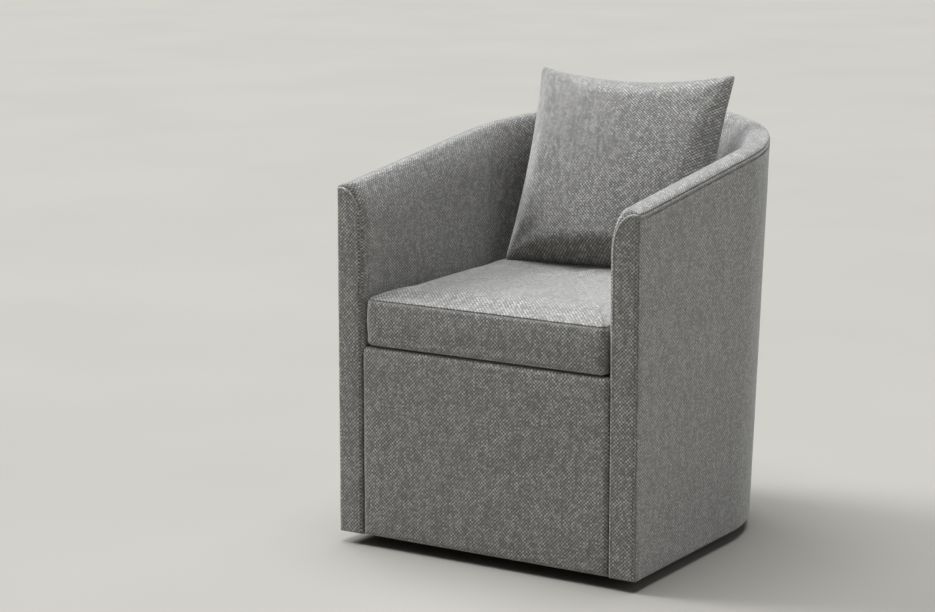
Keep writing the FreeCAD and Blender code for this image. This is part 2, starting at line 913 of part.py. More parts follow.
def ball_level():
    return D["plate_low"] - D["race_thick"] - D["race_gap"] / 2


def groove_for_balls(body):
    """Cut the ball track."""
    sketch = add_sketch(body, "XZ_Plane")
    draw_circle(sketch, D["ball_circle"], ball_level(), D["ball"] + D["ball_fit"])
    feature = body.newObject("PartDesign::Groove", "Groove")
    feature.Profile = sketch
    feature.ReferenceAxis = (origin_item(body, "Z_Axis"), [""])
    feature.Angle = 360.0


def make_races():
    """The two pressed steel rings that the balls run between."""
    bore = D["pin"] + D["pin_fit"]
    upper = (D["plate_low"] - D["race_thick"], D["plate_low"])
    lower_top = upper[0] - D["race_gap"]
    lower = (lower_top - D["race_thick"], lower_top)
    for name, hole, (low, high) in (("upper_race", bore, upper), ("lower_race", D["pin"], lower)):
        body = turned_body(name, rectangle(hole, D["race_radius"], low, high))
        groove_for_balls(body)
        keep(name, body)


def make_balls_and_cage():
    step = 360.0 / BALL_COUNT
    balls = []
    windows = []
    for number in range(BALL_COUNT):
        angle = math.radians(number * step)
        x = D["ball_circle"] * math.cos(angle)
        y = D["ball_circle"] * math.sin(angle) + D["swivel_place"]
        ball = doc.addObject("Part::Sphere", "Ball%d" % number)
        bind(ball, "Radius", D["ball"])
        place(ball, x, y, ball_level())
        balls.append(ball)
        window = cylinder("Window%d" % number, D["ball"] + D["cage_fit"],
                          ball_level() - D["race_gap"], ball_level() + D["race_gap"], x, y)
        windows.append(window)
    keep("bearing_balls", group("BearingBalls", balls))
    half = D["cage_thick"] / 2
    ring = turned_body("CageRing", rectangle(D["ball_circle"] - D["cage_half"],
                                             D["ball_circle"] + D["cage_half"],
                                             ball_level() - half, ball_level() + half))
    keep("ball_cage", cut("BallCage", ring, fuse("CageWindows", windows)))


def make_swivel_plate():
    """The square plate that is bolted under the swivel board."""
    body = new_body("SwivelPlate")
    sketch = add_sketch(body, "XY_Plane", D["plate_low"])
    draw(sketch, rounded_rectangle(D["plate_half"], D["plate_half"], D["plate_corner"]))
    thick = D["board_low"] - D["plate_low"]
    pad(body, sketch, thick)
    holes = add_sketch(body, "XY_Plane", D["board_low"])
    draw_circle(holes, 0, 0, D["pin"] + D["pin_fit"])
    for x in (-1, 1):
        for y in (-1, 1):
            draw_circle(holes, x * D["bolt_place"], y * D["bolt_place"], D["bolt"])
    pocket(body, holes, 2 * thick, symmetric=True)
    place(body, y=D["swivel_place"])
    keep("swivel_plate", body)


def make_swivel_bolts():
    """Hex bolts from below, and the tee nuts that they screw into on top of the board."""
    bolts = []
    tees = []
    top = D["board_low"] + D["board_thick"]
    for number, (x, y) in enumerate(bolt_places()):
        head = prism("BoltHead%d" % number, D["bolt_head"], D["plate_low"] - D["bolt_head_thick"],
                     D["plate_low"], x, y)
        shank = cylinder("BoltShank%d" % number, D["bolt"], D["plate_low"], top, x, y)
        bolts.append(fuse("Bolt%d" % number, [head, shank]))
        barrel = cylinder("TeeBarrel%d" % number, D["tee_barrel"], top - D["tee_depth"], top, x, y)
        flange = cylinder("TeeFlange%d" % number, D["tee_flange"], top, top + D["tee_flange_thick"], x, y)
        bore = cylinder("TeeBore%d" % number, D["bolt"], top - D["board_thick"],
                        top + D["board_thick"], x, y)
        tees.append(cut("Tee%d" % number, fuse("TeeSolid%d" % number, [barrel, flange]), bore))
    keep("swivel_bolts", group("SwivelBolts", bolts))
    keep("tee_nuts", group("TeeNuts", tees))


def make_kingpin():
    """The pin that holds the two races together, its washer and its lock nut."""
    lower_low = D["plate_low"] - 2 * D["race_thick"] - D["race_gap"]
    washer_low = D["board_low"] + D["pin_slack"]
    nut_low = washer_low + D["washer_thick"]
    nut_high = nut_low + D["nut_thick"]
    middle = D["swivel_place"]
    head = cylinder("PinHead", D["pin_head"], lower_low - D["pin_head_thick"], lower_low, 0, middle)
    shank = cylinder("PinShank", D["pin"], lower_low, nut_high, 0, middle)
    keep("kingpin", fuse("Kingpin", [head, shank]))
    disc = cylinder("WasherDisc", D["washer_radius"], washer_low, nut_low, 0, middle)
    disc_bore = cylinder("WasherBore", D["pin"], D["plate_low"], nut_high, 0, middle)
    keep("kingpin_washer", cut("KingpinWasher", disc, disc_bore))
    nut = prism("NutBlank", D["nut_flats"], nut_low, nut_high, 0, middle)
    nut_bore = cylinder("NutBore", D["pin"], D["plate_low"], nut_high + D["nut_thick"], 0, middle)
    keep("kingpin_nut", cut("KingpinNut", nut, nut_bore))


# ---------------------------------------------------------------------------------------------
# Star base and casters
# ---------------------------------------------------------------------------------------------

def make_column():
    """The short fixed tube between the hub and the lower race."""
    high = D["plate_low"] - 2 * D["race_thick"] - D["race_gap"]
    profile = rectangle(D["column_bore"], D["column_radius"], D["column_low"], high)
    keep("column", turned_body("Column", profile))


def make_star_base():
    """Hub, five tapered arms and a caster socket at the end of each."""
    body = new_body("StarBase")
    arm_sketches = []
    for reach, half, high in ((D["arm_root_start"], D["arm_root_half"], D["arm_root_high"]),
                              (D["stem_circle"], D["arm_tip_half"], D["arm_tip_high"])):
        sketch = add_sketch(body, "YZ_Plane", reach)
        draw(sketch, rectangle(-half, half, D["arm_low"], high))
        arm_sketches.append(sketch)
    arm = loft(body, arm_sketches)
    boss_sketch = add_sketch(body, "XY_Plane", D["boss_low"])
    draw_circle(boss_sketch, D["stem_circle"], 0, D["boss_radius"])
    boss = pad(body, boss_sketch, D["arm_tip_high"] - D["boss_low"])
    arms = body.newObject("PartDesign::PolarPattern", "Arms")
    arms.Originals = [arm, boss]
    arms.Axis = (origin_item(body, "Z_Axis"), [""])
    arms.Angle = 360.0
    arms.Occurrences = CASTER_COUNT
    body.Tip = arms
    hub_sketch = add_sketch(body, "XY_Plane", D["hub_low"])
    draw_circle(hub_sketch, 0, 0, D["hub_radius"])
    pad(body, hub_sketch, D["hub_high"] - D["hub_low"])
    bore = add_sketch(body, "XY_Plane", D["hub_high"])
    draw_circle(bore, 0, 0, D["column_radius"])
    pocket(body, bore, D["hub_high"] - D["column_low"])
    sockets = add_sketch(body, "XY_Plane", D["boss_low"])
    for angle in caster_angles(0.0):
        draw_circle(sockets, D["stem_circle"] * math.cos(angle), D["stem_circle"] * math.sin(angle),
                    D["sleeve_radius"])
    pocket(body, sockets, D["socket_high"] - D["boss_low"], reverse=True)
    body.Placement = Placement(Vector(0, 0, 0), Rotation(Vector(0, 0, 1), FRONT_ARM_ANGLE))
    place(body, y=D["swivel_place"])
    keep("star_base", body)


def caster_angles(first):
    """Directions of the five arms, in radians."""
    step = 360.0 / CASTER_COUNT
    return [math.radians(first + number * step) for number in range(CASTER_COUNT)]


def caster_places():
    """Centres of the five stems."""
    circle = D["stem_circle"]
    return [(circle * math.cos(angle), circle * math.sin(angle) + D["swivel_place"])
            for angle in caster_angles(FRONT_ARM_ANGLE)]


def make_grip_sleeves():
    """Bushes pressed into the sockets for the caster stems."""
    sleeves = []
    for number, (x, y) in enumerate(caster_places(), start=1):
        solid = cylinder("SleeveSolid%d" % number, D["sleeve_radius"], D["boss_low"], D["socket_high"], x, y)
        bore = cylinder("SleeveBore%d" % number, D["stem_radius"] + D["stem_fit"],
                        D["boss_low"] - D["stem_radius"], D["socket_high"] + D["stem_radius"], x, y)
        sleeves.append(cut("Sleeve%d" % number, solid, bore))
    keep("grip_sleeves", group("GripSleeves", sleeves))


def put_on_arm(body, x, y, turn):
    """Move a caster piece, built about its own stem, to its arm, with its trail turned."""
    body.Placement = Placement(Vector(0, 0, 0), Rotation(Vector(0, 0, 1), turn))
    place(body, x, y)


def caster_hood(name):
    """The moulded hood: a web between the wheels, a cover over them and a boss for the stem."""
    body = new_body(name)
    axle = (D["trail"], D["wheel_radius"])
    rise = D["wheel_radius"].value - D["hood_low"].value
    half_chord = Size(math.sqrt(D["hood_radius"].value ** 2 - rise ** 2),
                      "sqrt(Sheet.hood_radius ^ 2 - (Sheet.wheel_radius - Sheet.hood_low) ^ 2)")
    side = add_sketch(body, "XZ_Plane")
    draw(side, [
        corner(D["trail"] + half_chord, D["hood_low"]),
        corner(D["trail"] - half_chord, D["hood_low"], centre=axle),
    ])
    pad(body, side, 2 * D["hood_half"], symmetric=True)
    boss = add_sketch(body, "XY_Plane", D["hood_boss_low"])
    draw_circle(boss, 0, 0, D["hood_boss"])
    pad(body, boss, D["collar_low"] - D["hood_boss_low"])
    for name_side, normal in SIDES:
        well = add_sketch(body, "XZ_Plane", normal * D["hood_web"])
        draw_circle(well, axle[0], axle[1], D["hood_clear"])
        pocket(body, well, 2 * D["hood_half"], reverse=normal > 0)
    bore = add_sketch(body, "XZ_Plane")
    draw_circle(bore, axle[0], axle[1], D["axle_radius"] + D["axle_fit"])
    pocket(body, bore, 4 * D["hood_half"], symmetric=True)
    socket = add_sketch(body, "XY_Plane", D["collar_low"])
    draw_circle(socket, 0, 0, D["stem_radius"])
    pocket(body, socket, D["collar_low"] - D["stem_low"])
    return body


def caster_stem(name):
    """The steel stem with its collar."""
    body = new_body(name)
    sketch = add_sketch(body, "XZ_Plane")
    draw(sketch, [
        corner(0, D["stem_low"]), corner(D["stem_radius"], D["stem_low"]),
        corner(D["stem_radius"], D["collar_low"]), corner(D["collar_radius"], D["collar_low"]),
        corner(D["collar_radius"], D["collar_high"]), corner(D["stem_radius"], D["collar_high"]),
        corner(D["stem_radius"], D["stem_high"]), corner(0, D["stem_high"]),
    ])
    feature = body.newObject("PartDesign::Revolution", "Revolution")
    feature.Profile = sketch
    feature.ReferenceAxis = (origin_item(body, "Z_Axis"), [""])
    feature.Angle = 360.0
    return body


def wheel_body(name, side):
    """One nylon wheel: rounded tread, recessed face and a boss round the axle."""
    body = new_body(name)
    axis_level = D["wheel_radius"]
    inner = side * D["wheel_inner"]
    outer = side * (D["wheel_inner"] + D["wheel_width"])
    sketch = add_sketch(body, "YZ_Plane", D["trail"])
    edge = D["wheel_edge"]
    tread = 2 * D["wheel_radius"]
    floor = outer - side * D["wheel_recess"]
    draw(sketch, [
        corner(inner, axis_level + D["axle_radius"]),
        corner(outer, axis_level + D["axle_radius"]),
        corner(outer, axis_level + D["wheel_boss"]),
        corner(floor, axis_level + D["wheel_boss"]),
        corner(floor, axis_level + D["wheel_recess_radius"]),
        corner(outer, axis_level + D["wheel_recess_radius"]),
        corner(outer, tread - edge),
        corner(outer - side * edge, tread, centre=(outer - side * edge, tread - edge), turn=side),
        corner(inner + side * edge, tread),
        corner(inner, tread - edge, centre=(inner + side * edge, tread - edge), turn=side),
    ])
    feature = body.newObject("PartDesign::Revolution", "Revolution")
    feature.Profile = sketch
    axle_line = sketch.addGeometry(Part.LineSegment(Vector(0, axis_level.value, 0),
                                                    Vector(10, axis_level.value, 0)), True)
    sketch.addConstraint(Sketcher.Constraint("Horizontal", axle_line))
    constrain(sketch, "DistanceY", axle_line, 1, axis_level)
    feature.ReferenceAxis = (sketch, ["Axis0"])
    feature.Angle = 360.0
    return body


def caster_axle(name):
    """The pin that joins the two wheels through the hood's web."""
    item = doc.addObject("Part::Cylinder", name)
    bind(item, "Radius", D["axle_radius"])
    bind(item, "Height", 2 * (D["wheel_inner"] + D["wheel_width"]))
    return item


def make_casters():
    for number, (x, y) in enumerate(caster_places(), start=1):
        turn = CASTER_TURNS[number - 1]
        hood = keep("caster_hood_%d" % number, caster_hood("Hood%d" % number))
        stem = keep("caster_stem_%d" % number, caster_stem("Stem%d" % number))
        wheels = [wheel_body("Wheel%s%d" % (name, number), side) for name, side in SIDES]
        for body in [hood, stem] + wheels:
            put_on_arm(body, x, y, turn)
        keep("caster_wheels_%d" % number, group("Wheels%d" % number, wheels))
        axle = keep("caster_axle_%d" % number, caster_axle("Axle%d" % number))
        angle = math.radians(turn)
        reach = D["wheel_inner"] + D["wheel_width"]
        flat = Rotation(Vector(0, 0, 1), turn).multiply(Rotation(Vector(1, 0, 0), -90))
        axle.Placement = Placement(Vector(0, 0, 0), flat)
        place(axle, x + D["trail"] * math.cos(angle) + reach * math.sin(angle),
              y + D["trail"] * math.sin(angle) - reach * math.cos(angle), D["wheel_radius"])


# ---------------------------------------------------------------------------------------------
# Checks and export
# ---------------------------------------------------------------------------------------------

def check_document():
    """Stop on any object that failed to compute, or piece that isn't a valid solid."""
    for item in doc.Objects:
        state = set(item.State) & {"Invalid", "Error"}
        if state:
            raise RuntimeError("%s: %s" % (item.Name, sorted(state)))
    for label, item in nodes.items():
        shape = item.Shape
        if shape.isNull() or not shape.isValid() or not shape.Solids:
            raise RuntimeError("%s has no valid solid" % label)


def check_pockets():
    """Every pocket and groove has to take material away."""
    for item in doc.Objects:
        if item.TypeId in ("PartDesign::Pocket", "PartDesign::Groove"):
            before = item.BaseFeature.Shape.Volume
            if item.Shape.Volume > before - 1.0:
                raise RuntimeError("%s in %s cuts nothing" % (item.Name, item.getParent().Name))


def export_nodes():
    os.makedirs("parts", exist_ok=True)
    for label, item in nodes.items():
        item.Shape.exportStep("parts/%s.step" % label)
        shape_box = item.Shape.BoundBox
        print("%-22s %3d solids  %10.0f mm3  x %7.1f %7.1f  y %7.1f %7.1f  z %6.1f %6.1f" % (
            label, len(item.Shape.Solids), item.Shape.Volume, shape_box.XMin, shape_box.XMax,
            shape_box.YMin, shape_box.YMax, shape_box.ZMin, shape_box.ZMax))


def main():
    make_outside_cover()
    make_shell_board()
    make_arm_back_foam()
    make_inside_cover()
    make_arm_facings()
    make_front_panel()
    make_rails()
    make_corner_blocks()
    make_swivel_board()
    make_stretchers()
    make_dust_cover()
    make_frame_screws()
    make_springs()
    make_deck()
    make_seat_cushion()
    make_pillow()
    make_races()
    make_balls_and_cage()
    make_swivel_plate()
    make_swivel_bolts()
    make_kingpin()
    make_column()
    make_star_base()
    make_grip_sleeves()
    make_casters()
    doc.recompute()
    check_document()
    check_pockets()
    export_nodes()


main()
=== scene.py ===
"""The looks of the swivel office chair: an upholstered tub on a hidden swivel base.

Lengths are in metres, in the frame of the CAD: +Z up, the sitter faces -Y, left is -X.
"""

import json
import math

import bmesh
import bpy
import numpy as np
from mathutils import Matrix, Vector


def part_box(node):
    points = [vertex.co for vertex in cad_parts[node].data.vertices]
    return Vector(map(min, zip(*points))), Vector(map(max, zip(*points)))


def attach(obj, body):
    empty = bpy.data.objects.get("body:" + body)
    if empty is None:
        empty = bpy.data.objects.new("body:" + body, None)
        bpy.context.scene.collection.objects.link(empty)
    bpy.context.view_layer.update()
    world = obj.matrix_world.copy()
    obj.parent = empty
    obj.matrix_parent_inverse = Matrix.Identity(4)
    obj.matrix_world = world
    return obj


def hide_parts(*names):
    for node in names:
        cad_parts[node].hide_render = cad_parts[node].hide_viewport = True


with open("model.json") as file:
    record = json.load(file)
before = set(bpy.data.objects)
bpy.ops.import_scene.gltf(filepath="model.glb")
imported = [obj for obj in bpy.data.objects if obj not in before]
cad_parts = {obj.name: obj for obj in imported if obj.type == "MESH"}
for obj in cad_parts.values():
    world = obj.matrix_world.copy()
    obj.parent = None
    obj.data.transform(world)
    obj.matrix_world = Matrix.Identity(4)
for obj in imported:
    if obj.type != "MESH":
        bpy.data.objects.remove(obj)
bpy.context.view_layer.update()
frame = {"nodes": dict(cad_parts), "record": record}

# ---- Sizes ----

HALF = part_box("outside_cover")[1].x
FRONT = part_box("arm_facing_left")[0].y
WALL_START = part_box("arm_facing_left")[1].y
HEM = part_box("outside_cover")[0].z
WALL_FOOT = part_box("inside_cover")[0].z
PANEL_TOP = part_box("front_cover")[1].z
SEAT_LOW, SEAT_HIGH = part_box("seat_cushion_cover")

ARC_CENTRE = 0.005
LEAN = 0.056 / 0.720
CREST_FRONT = 0.6365
CREST_SLOPE = math.tan(math.radians(7.2))
WALL = 0.058
FABRIC = 0.0028
BOARD_INNER = 0.0155

ROLL_START = 0.005
ROLL_RISE = 0.009
ROLL_OUTER = (0.026, ROLL_START + ROLL_RISE)
ROLL_INNER = (WALL - ROLL_OUTER[0], 0.080)
SEAM_DROP = 0.001
SEAM_GAP = 0.0075
FRONT_REACH = 0.0194
FRONT_TUCK = 0.0062
EDGE_TUCK = 0.0012

STRAIGHT_STEPS = 46
ARC_STEPS = 120
END_STEPS = 9
SETTLE_STEPS = 8

# Small steps of the wall's closed sections. LAP: further in than the roll, and nearer to or further
# from the crest than the seam. GROOVE: away from the sewn channel's middle, and depth.
# The others: inset from the outer face, and rise above the foot.
LAP = ((0.0015, 0.0002), (0.0003, 0.0007))
LAP_END = 0.0018
GROOVE_HALF = 0.0030
GROOVE = ((-GROOVE_HALF, 0), (-0.0019, 0.0004), (-0.0010, 0.0013), (0, 0.0021),
          (0.0010, 0.0013), (0.0019, 0.0004), (GROOVE_HALF, 0))
HEM_RISE = 0.0036
HEM_EDGE = ((0.0, HEM_RISE), (0.0005, 0.0012))
HEM_TURN = ((0.0018, 0.0), (0.0080, 0.0004), (0.0146, 0.0), (0.0150, 0.0010), (0.0146, 0.0018),
            (FABRIC + 0.001, 0.0019), (FABRIC, 0.0030))
LINING_RISE = 0.0030
PAD_RISE = 0.005
PAD_EDGE = ((WALL, PAD_RISE), (WALL - 0.0015, 0.0015), (WALL - 0.005, 0.0))
PAD_FOOT = (WALL / 2 + 0.006, BOARD_INNER)
BOARD_DROP = 0.05
BOARD_TOP = ((BOARD_INNER, 0.0027, 0.0, 0.0045), (0.0092, 0.0026, 0.0, 0.0045),
             (0.0038, 0.0025, EDGE_TUCK, 0.0010))
CLOTH_WAVES = {"seed": 3, "size": 0.16}
CLOTH_UNEVEN = 0.0005
PAD_WAVES = {"seed": 8, "size": 0.22}
PAD_UNEVEN = 0.0009

FACING_FACE = 0.0058
FACING_ROLL = 0.0036
FACING_RISE = 0.0035
FACING_CORNER = (0.041, 0.065)
FACING_OUTER_CORNER = (0.005, 0.004)
ROLL_END = 0.0012
FACING_NEAR = HALF - WALL + FRONT_TUCK + ROLL_END
FACING_FAR = HALF - 0.0030
FACING_CROWN = 0.0006
FACING_CELLS = (26, 190)
FACING_SEED = 11
BACK_GAP = 0.0005
PANEL_HALF = 0.2474
PANEL_CORNER = (0.011, 0.013)
PANEL_ROLL = 0.0100
PANEL_THICK = 0.0085
PANEL_CROWN = 0.0012
PANEL_CELLS = (120, 84)
PANEL_SEED = 5
FLAT_UNEVEN = 0.0004
FLAT_WAVE = 0.12

SEAT_RING = 312
SEAT_SEAM = 0.4455
SEAT_CROWN = 0.0225
SEAT_FOOT = 0.0105
SEAT_CORNER = 0.011
SEAT_PROUD = 0.003
SEAT_BASE = SEAT_LOW.z + 0.0008
SEAT_MIDDLE = (0.0, -0.03)
SEAT_BULGE = 0.0022
SEAT_EDGE = 0.0012
SEAT_SEAM_INSET = 0.0020
SEAT_TOP_STEPS = (0.0012, 0.0028, 0.0050, 0.0075)
SEAT_TOP_INSET = SEAT_SEAM_INSET + SEAT_TOP_STEPS[-1]
SEAT_SMALLEST = 0.06
SEAT_HELD_ROWS = 34
SEAT_HOLLOW = 0.003
SEAT_HOLLOW_PLACE = (0.0, -0.05)
SEAT_HOLLOW_SIZE = 0.17
SEAT_WAVES = {"seed": 21, "size": 0.13}
SEAT_UNEVEN = 0.0014
SEAM_PULL = 0.0026

PILLOW_CENTRE = Vector((-0.003, 0.126, 0.6365))
PILLOW_LEAN = 26.0
PILLOW_TURN = 7.0
PILLOW_SIDE = 0.405
PILLOW_CELLS = 72
PILLOW_HALF = 0.194
PILLOW_DEPTH = 0.064
PILLOW_EAR = 0.013
FOLD_REACH = 0.045
FOLD_DEPTH = 0.0022
FOLD_COUNT = 9
PILLOW_BOW_TOP = 0.125
PILLOW_BOW_SIDE = 0.055
PILLOW_BOW_FOOT = 0.020
PILLOW_SLACK_BOW = 0.025
PILLOW_SLACK_DEPTH = 0.030
PILLOW_TOP_THIN = 0.10

CLOTH = {"quality": 6, "mass": 0.3, "bending_stiffness": 0.8, "air_damping": 2.0,
         "vertex_group_mass": "hold", "pin_stiffness": 1.0, "use_pressure": True}

QUILT_STEP = 0.085
QUILT_DIP = 0.0022
QUILT_WIDTH = 0.006
DUST_SAG = 0.0016
DUST_UNEVEN = 0.0009
DUST_WAVES = {"seed": 30, "size": 0.07}

STITCH_LENGTH = 0.0042
STITCH_GAP = 0.0016
STITCH_RADIUS = 0.0005
STITCH_DEPTH = 0.0004
STITCH_AWAY = 0.0042
STITCH_SIDES = 6
# Along a thread: place, thickness and height.
STITCH_RINGS = ((0.0, 0.25, -0.7), (0.18, 0.8, 0.35), (0.5, 1.0, 0.9), (0.82, 0.8, 0.35), (1.0, 0.25, -0.7))

TWEED_PITCH = 0.0033
FELT_PITCH = 0.0012
DUST_PITCH = 0.0009
WARP_RUN = 7.0
WEFT_RUN = 6.0
RUN_SHIFT = 9.0
WEAVE_START = 40000.0

FLOOR_HALF = 30.0
WORLD_COLOUR = (0.98, 1.0, 0.97, 1.0)
WORLD_STRENGTH = 0.06
SUN_COLOUR = (0.965, 0.985, 1.0)
# Name, strength, softness in degrees, and the direction in which it shines.
SUNS = (
    ("top", 3.7, 50, (0.10, -0.10, -1.0)),
    ("window", 2.7, 24, (0.75, 0.12, -0.65)),
    ("window behind", 0.65, 30, (0.90, -0.45, -0.80)),
    ("room", 0.46, 60, (-1.0, 0.10, -0.45)),
)
CAMERA_PLACE = Vector((2.270, -4.020, 1.292))
CAMERA_AIM = Vector((-0.2148, -0.0617, 0.3882))
CAMERA_LENS = 99.8
CAMERA_SENSOR = 36.0


# ---- Meshes ----

def turn(start, end, count):
    """Evenly spaced angles in radians, from a start to an end in degrees."""
    return np.radians(np.linspace(start, end, count))


def add_object(name, data):
    thing = bpy.data.objects.new(name, data)
    bpy.context.scene.collection.objects.link(thing)
    return thing


def mesh_from(name, points, faces, weave=None):
    """A smooth-shaded piece and, where given, one weave coordinate per vertex."""
    mesh = bpy.data.meshes.new(name)
    mesh.from_pydata([tuple(p) for p in points], [], faces)
    if weave is not None:
        layer = mesh.uv_layers.new(name="weave")
        loops = np.zeros(len(mesh.loops), np.int32)
        mesh.loops.foreach_get("vertex_index", loops)
        layer.data.foreach_set("uv", weave[loops].astype(np.float32).ravel())
    mesh.polygons.foreach_set("use_smooth", [True] * len(mesh.polygons))
    mesh.update()
    return add_object(name, mesh)


def grid_faces(rows, columns, closed_rows=False, closed_columns=False):
    """Quads of a grid whose vertex at row r and column c has index r * columns + c."""
    faces = []
    for r in range(rows if closed_rows else rows - 1):
        below = (r + 1) % rows
        for c in range(columns if closed_columns else columns - 1):
            right = (c + 1) % columns
            quad = ((r, c), (r, right), (below, right), (below, c))
            faces.append(tuple(row * columns + column for row, column in quad))
    return faces


def face_outwards(piece):
    """Turn every face of a closed piece outwards."""
    shape = bmesh.new()
    shape.from_mesh(piece.data)
    bmesh.ops.recalc_face_normals(shape, faces=shape.faces)
    shape.to_mesh(piece.data)
    shape.free()
    piece.data.update()


def box_weave(mesh):
    """Weave coordinates from the side that each face looks to."""
    layer = mesh.uv_layers.get("weave") or mesh.uv_layers.new(name="weave")
    for face in mesh.polygons:
        side = max(range(3), key=lambda axis: abs(face.normal[axis]))
        first, second = [(1, 2), (0, 2), (0, 1)][side]
        for loop in face.loop_indices:
            spot = mesh.vertices[mesh.loops[loop].vertex_index].co
            layer.data[loop].uv = (spot[first], spot[second])


# ---- The wall's shape ----

def centre_y(z):
    return ARC_CENTRE + LEAN * (z - HEM)


def crest_z(y):
    return CREST_FRONT + CREST_SLOPE * (y - FRONT)


def plan_stations():
    """Places along the U: 0 to 1 the left arm, 1 to 2 the half circle, 2 to 3 the right arm."""
    left = np.linspace(0, 1, STRAIGHT_STEPS, endpoint=False)
    arc = np.linspace(1, 2, ARC_STEPS, endpoint=False)
    right = np.linspace(2, 3, STRAIGHT_STEPS + 1)
    return np.concatenate([left, arc, right])


def plan_point(station, inset, z):
    """X and Y of the wall at a station, that far in from its outer face."""
    centre = centre_y(z)
    radius = HALF - inset
    angle = np.pi * np.clip(station - 1, 0, 1)
    x = -radius * np.cos(angle)
    left_y = WALL_START + (centre - WALL_START) * station
    right_y = centre + (WALL_START - centre) * (station - 2)
    arc_y = centre + radius * np.sin(angle)
    y = np.where(station < 1, left_y, np.where(station > 2, right_y, arc_y))
    return x, y


def wall_columns():
    """Station, forward reach and tuck of every column, with the rounded ends in front of the wall."""
    angle = turn(0, 90, END_STEPS + 1)[1:]
    reach = FRONT_REACH * np.sin(angle)
    tuck = 1 - np.cos(angle)
    body = plan_stations()
    still = np.zeros(len(body))
    station = np.concatenate([np.zeros(END_STEPS), body, np.full(END_STEPS, 3.0)])
    forward = np.concatenate([reach[::-1], still, reach])
    tucked = np.concatenate([tuck[::-1], still, tuck])
    return station, forward, tucked


def profile_row(inset, drop=0.0, low=0.0, rise=0.0, shift=(0.0, 0.0)):
    """One line along the wall: inset from the outer face and drop from the crest, or, where low is 1,
    rise above the foot. Shift is how far it moves in and down where the wall's front end closes."""
    return (inset, drop, low, rise, shift[0], shift[1])


def wall_grid(rows, foot):
    """Points and weave coordinates of profile rows swept along the wall."""
    station, forward, tucked = wall_columns()
    rows = np.array(rows)[:, :, None]
    inset = rows[:, 0] + rows[:, 4] * tucked
    drop = rows[:, 1] + rows[:, 5] * tucked
    low, rise = rows[:, 2], rows[:, 3]
    z = np.full(inset.shape, CREST_FRONT)
    for _ in range(SETTLE_STEPS):
        x, y = plan_point(station + 0 * z, inset, z)
        z = (1 - low) * (crest_z(y) - drop) + low * (foot + rise)
    y = y - forward
    points = np.stack([x, y, z], axis=-1)
    along = np.linalg.norm(np.diff(points, axis=1), axis=2).mean(axis=0)
    u = np.concatenate([[0], np.cumsum(along)])
    across = np.linalg.norm(np.diff(points, axis=0), axis=2).mean(axis=1)
    v = np.concatenate([[0], np.cumsum(across)])
    weave = np.stack(np.broadcast_arrays(u[None, :], v[:, None]), axis=-1)
    return points, weave


def capped_loop(name, points, weave):
    """A closed piece: a closed profile swept along the wall, with a cap at each end."""
    rows, columns = points.shape[:2]
    faces = grid_faces(rows, columns, closed_rows=True)
    faces.append([r * columns for r in range(rows)])
    faces.append([r * columns + columns - 1 for r in reversed(range(rows))])
    piece = mesh_from(name, points.reshape(-1, 3), faces, weave.reshape(-1, 2))
    face_outwards(piece)
    return piece


def soft_waves(x, y, seed, size):
    """A smooth, small, repeatable unevenness between about -1 and 1."""
    draw = np.random.default_rng(seed)
    total = np.zeros(np.broadcast(x, y).shape)
    for _ in range(7):
        heading = draw.uniform(0, 2 * np.pi)
        rate = 2 * np.pi / (size * draw.uniform(0.6, 1.8))
        phase = draw.uniform(0, 2 * np.pi)
        total = total + np.sin(rate * (x * np.cos(heading) + y * np.sin(heading)) + phase)
    return total / 3.5


# ---- Outside fabric and inside padding ----

def roll_inset(drop):
    """How far in the crest's outer curve lies at a drop from the crest line."""
    share = (ROLL_START - drop) / ROLL_OUTER[1]
    return ROLL_OUTER[0] * (1 - math.sqrt(1 - share * share))


def outside_rows():
    """The outside fabric's closed section: lapped top edge, sewn channel, face, turned hem and back."""
    shift = (EDGE_TUCK, 0.0)
    groove = SEAM_DROP + SEAM_GAP
    edge = roll_inset(SEAM_DROP)
    rows = [profile_row(edge + inward, SEAM_DROP + down, shift=shift) for inward, down in LAP]
    rows.append(profile_row(roll_inset(SEAM_DROP + LAP_END), SEAM_DROP + LAP_END, shift=shift))
    rows += [profile_row(depth, groove + away, shift=shift) for away, depth in GROOVE]
    for share in np.linspace(0.02, 0.985, 84):
        rows.append(profile_row(0.0, groove + GROOVE_HALF, low=share, rise=HEM_RISE, shift=shift))
    rows += [profile_row(inset, low=1.0, rise=rise, shift=shift) for inset, rise in HEM_EDGE]
    rows += [profile_row(inset, low=1.0, rise=rise) for inset, rise in HEM_TURN]
    for share in (0.8, 0.6, 0.4, 0.2, 0.0):
        rows.append(profile_row(FABRIC, SEAM_DROP + 0.0035, low=share, rise=LINING_RISE))
    return rows


def make_outside_fabric():
    rows = outside_rows()
    points, weave = wall_grid(rows, HEM)
    inset, _, low = np.array(rows).T[:3, :, None]
    push_wall(points, weave, (inset < 0.0002) & (low > 0), CLOTH_WAVES, -CLOTH_UNEVEN)
    return capped_loop("outside_fabric", points, weave)


def plan_normals():
    """Outward direction of every column."""
    station, _, _ = wall_columns()
    angle = np.pi * np.clip(station - 1, 0, 1)
    return -np.cos(angle), np.sin(angle)


def push_wall(points, weave, face, waves, amount):
    """Make a face of the wall softly uneven, by moving it out by up to amount."""
    step = amount * np.where(face, abs(soft_waves(weave[..., 0], weave[..., 1], **waves)), 0)
    for axis, heading in enumerate(plan_normals()):
        points[..., axis] += heading * step


def ended_row(inset, drop, end_inset, end_z):
    """A row of the crest's roll that closes round the facing at the wall's front end."""
    return profile_row(inset, drop, shift=(end_inset - inset, crest_z(WALL_START) - end_z - drop))


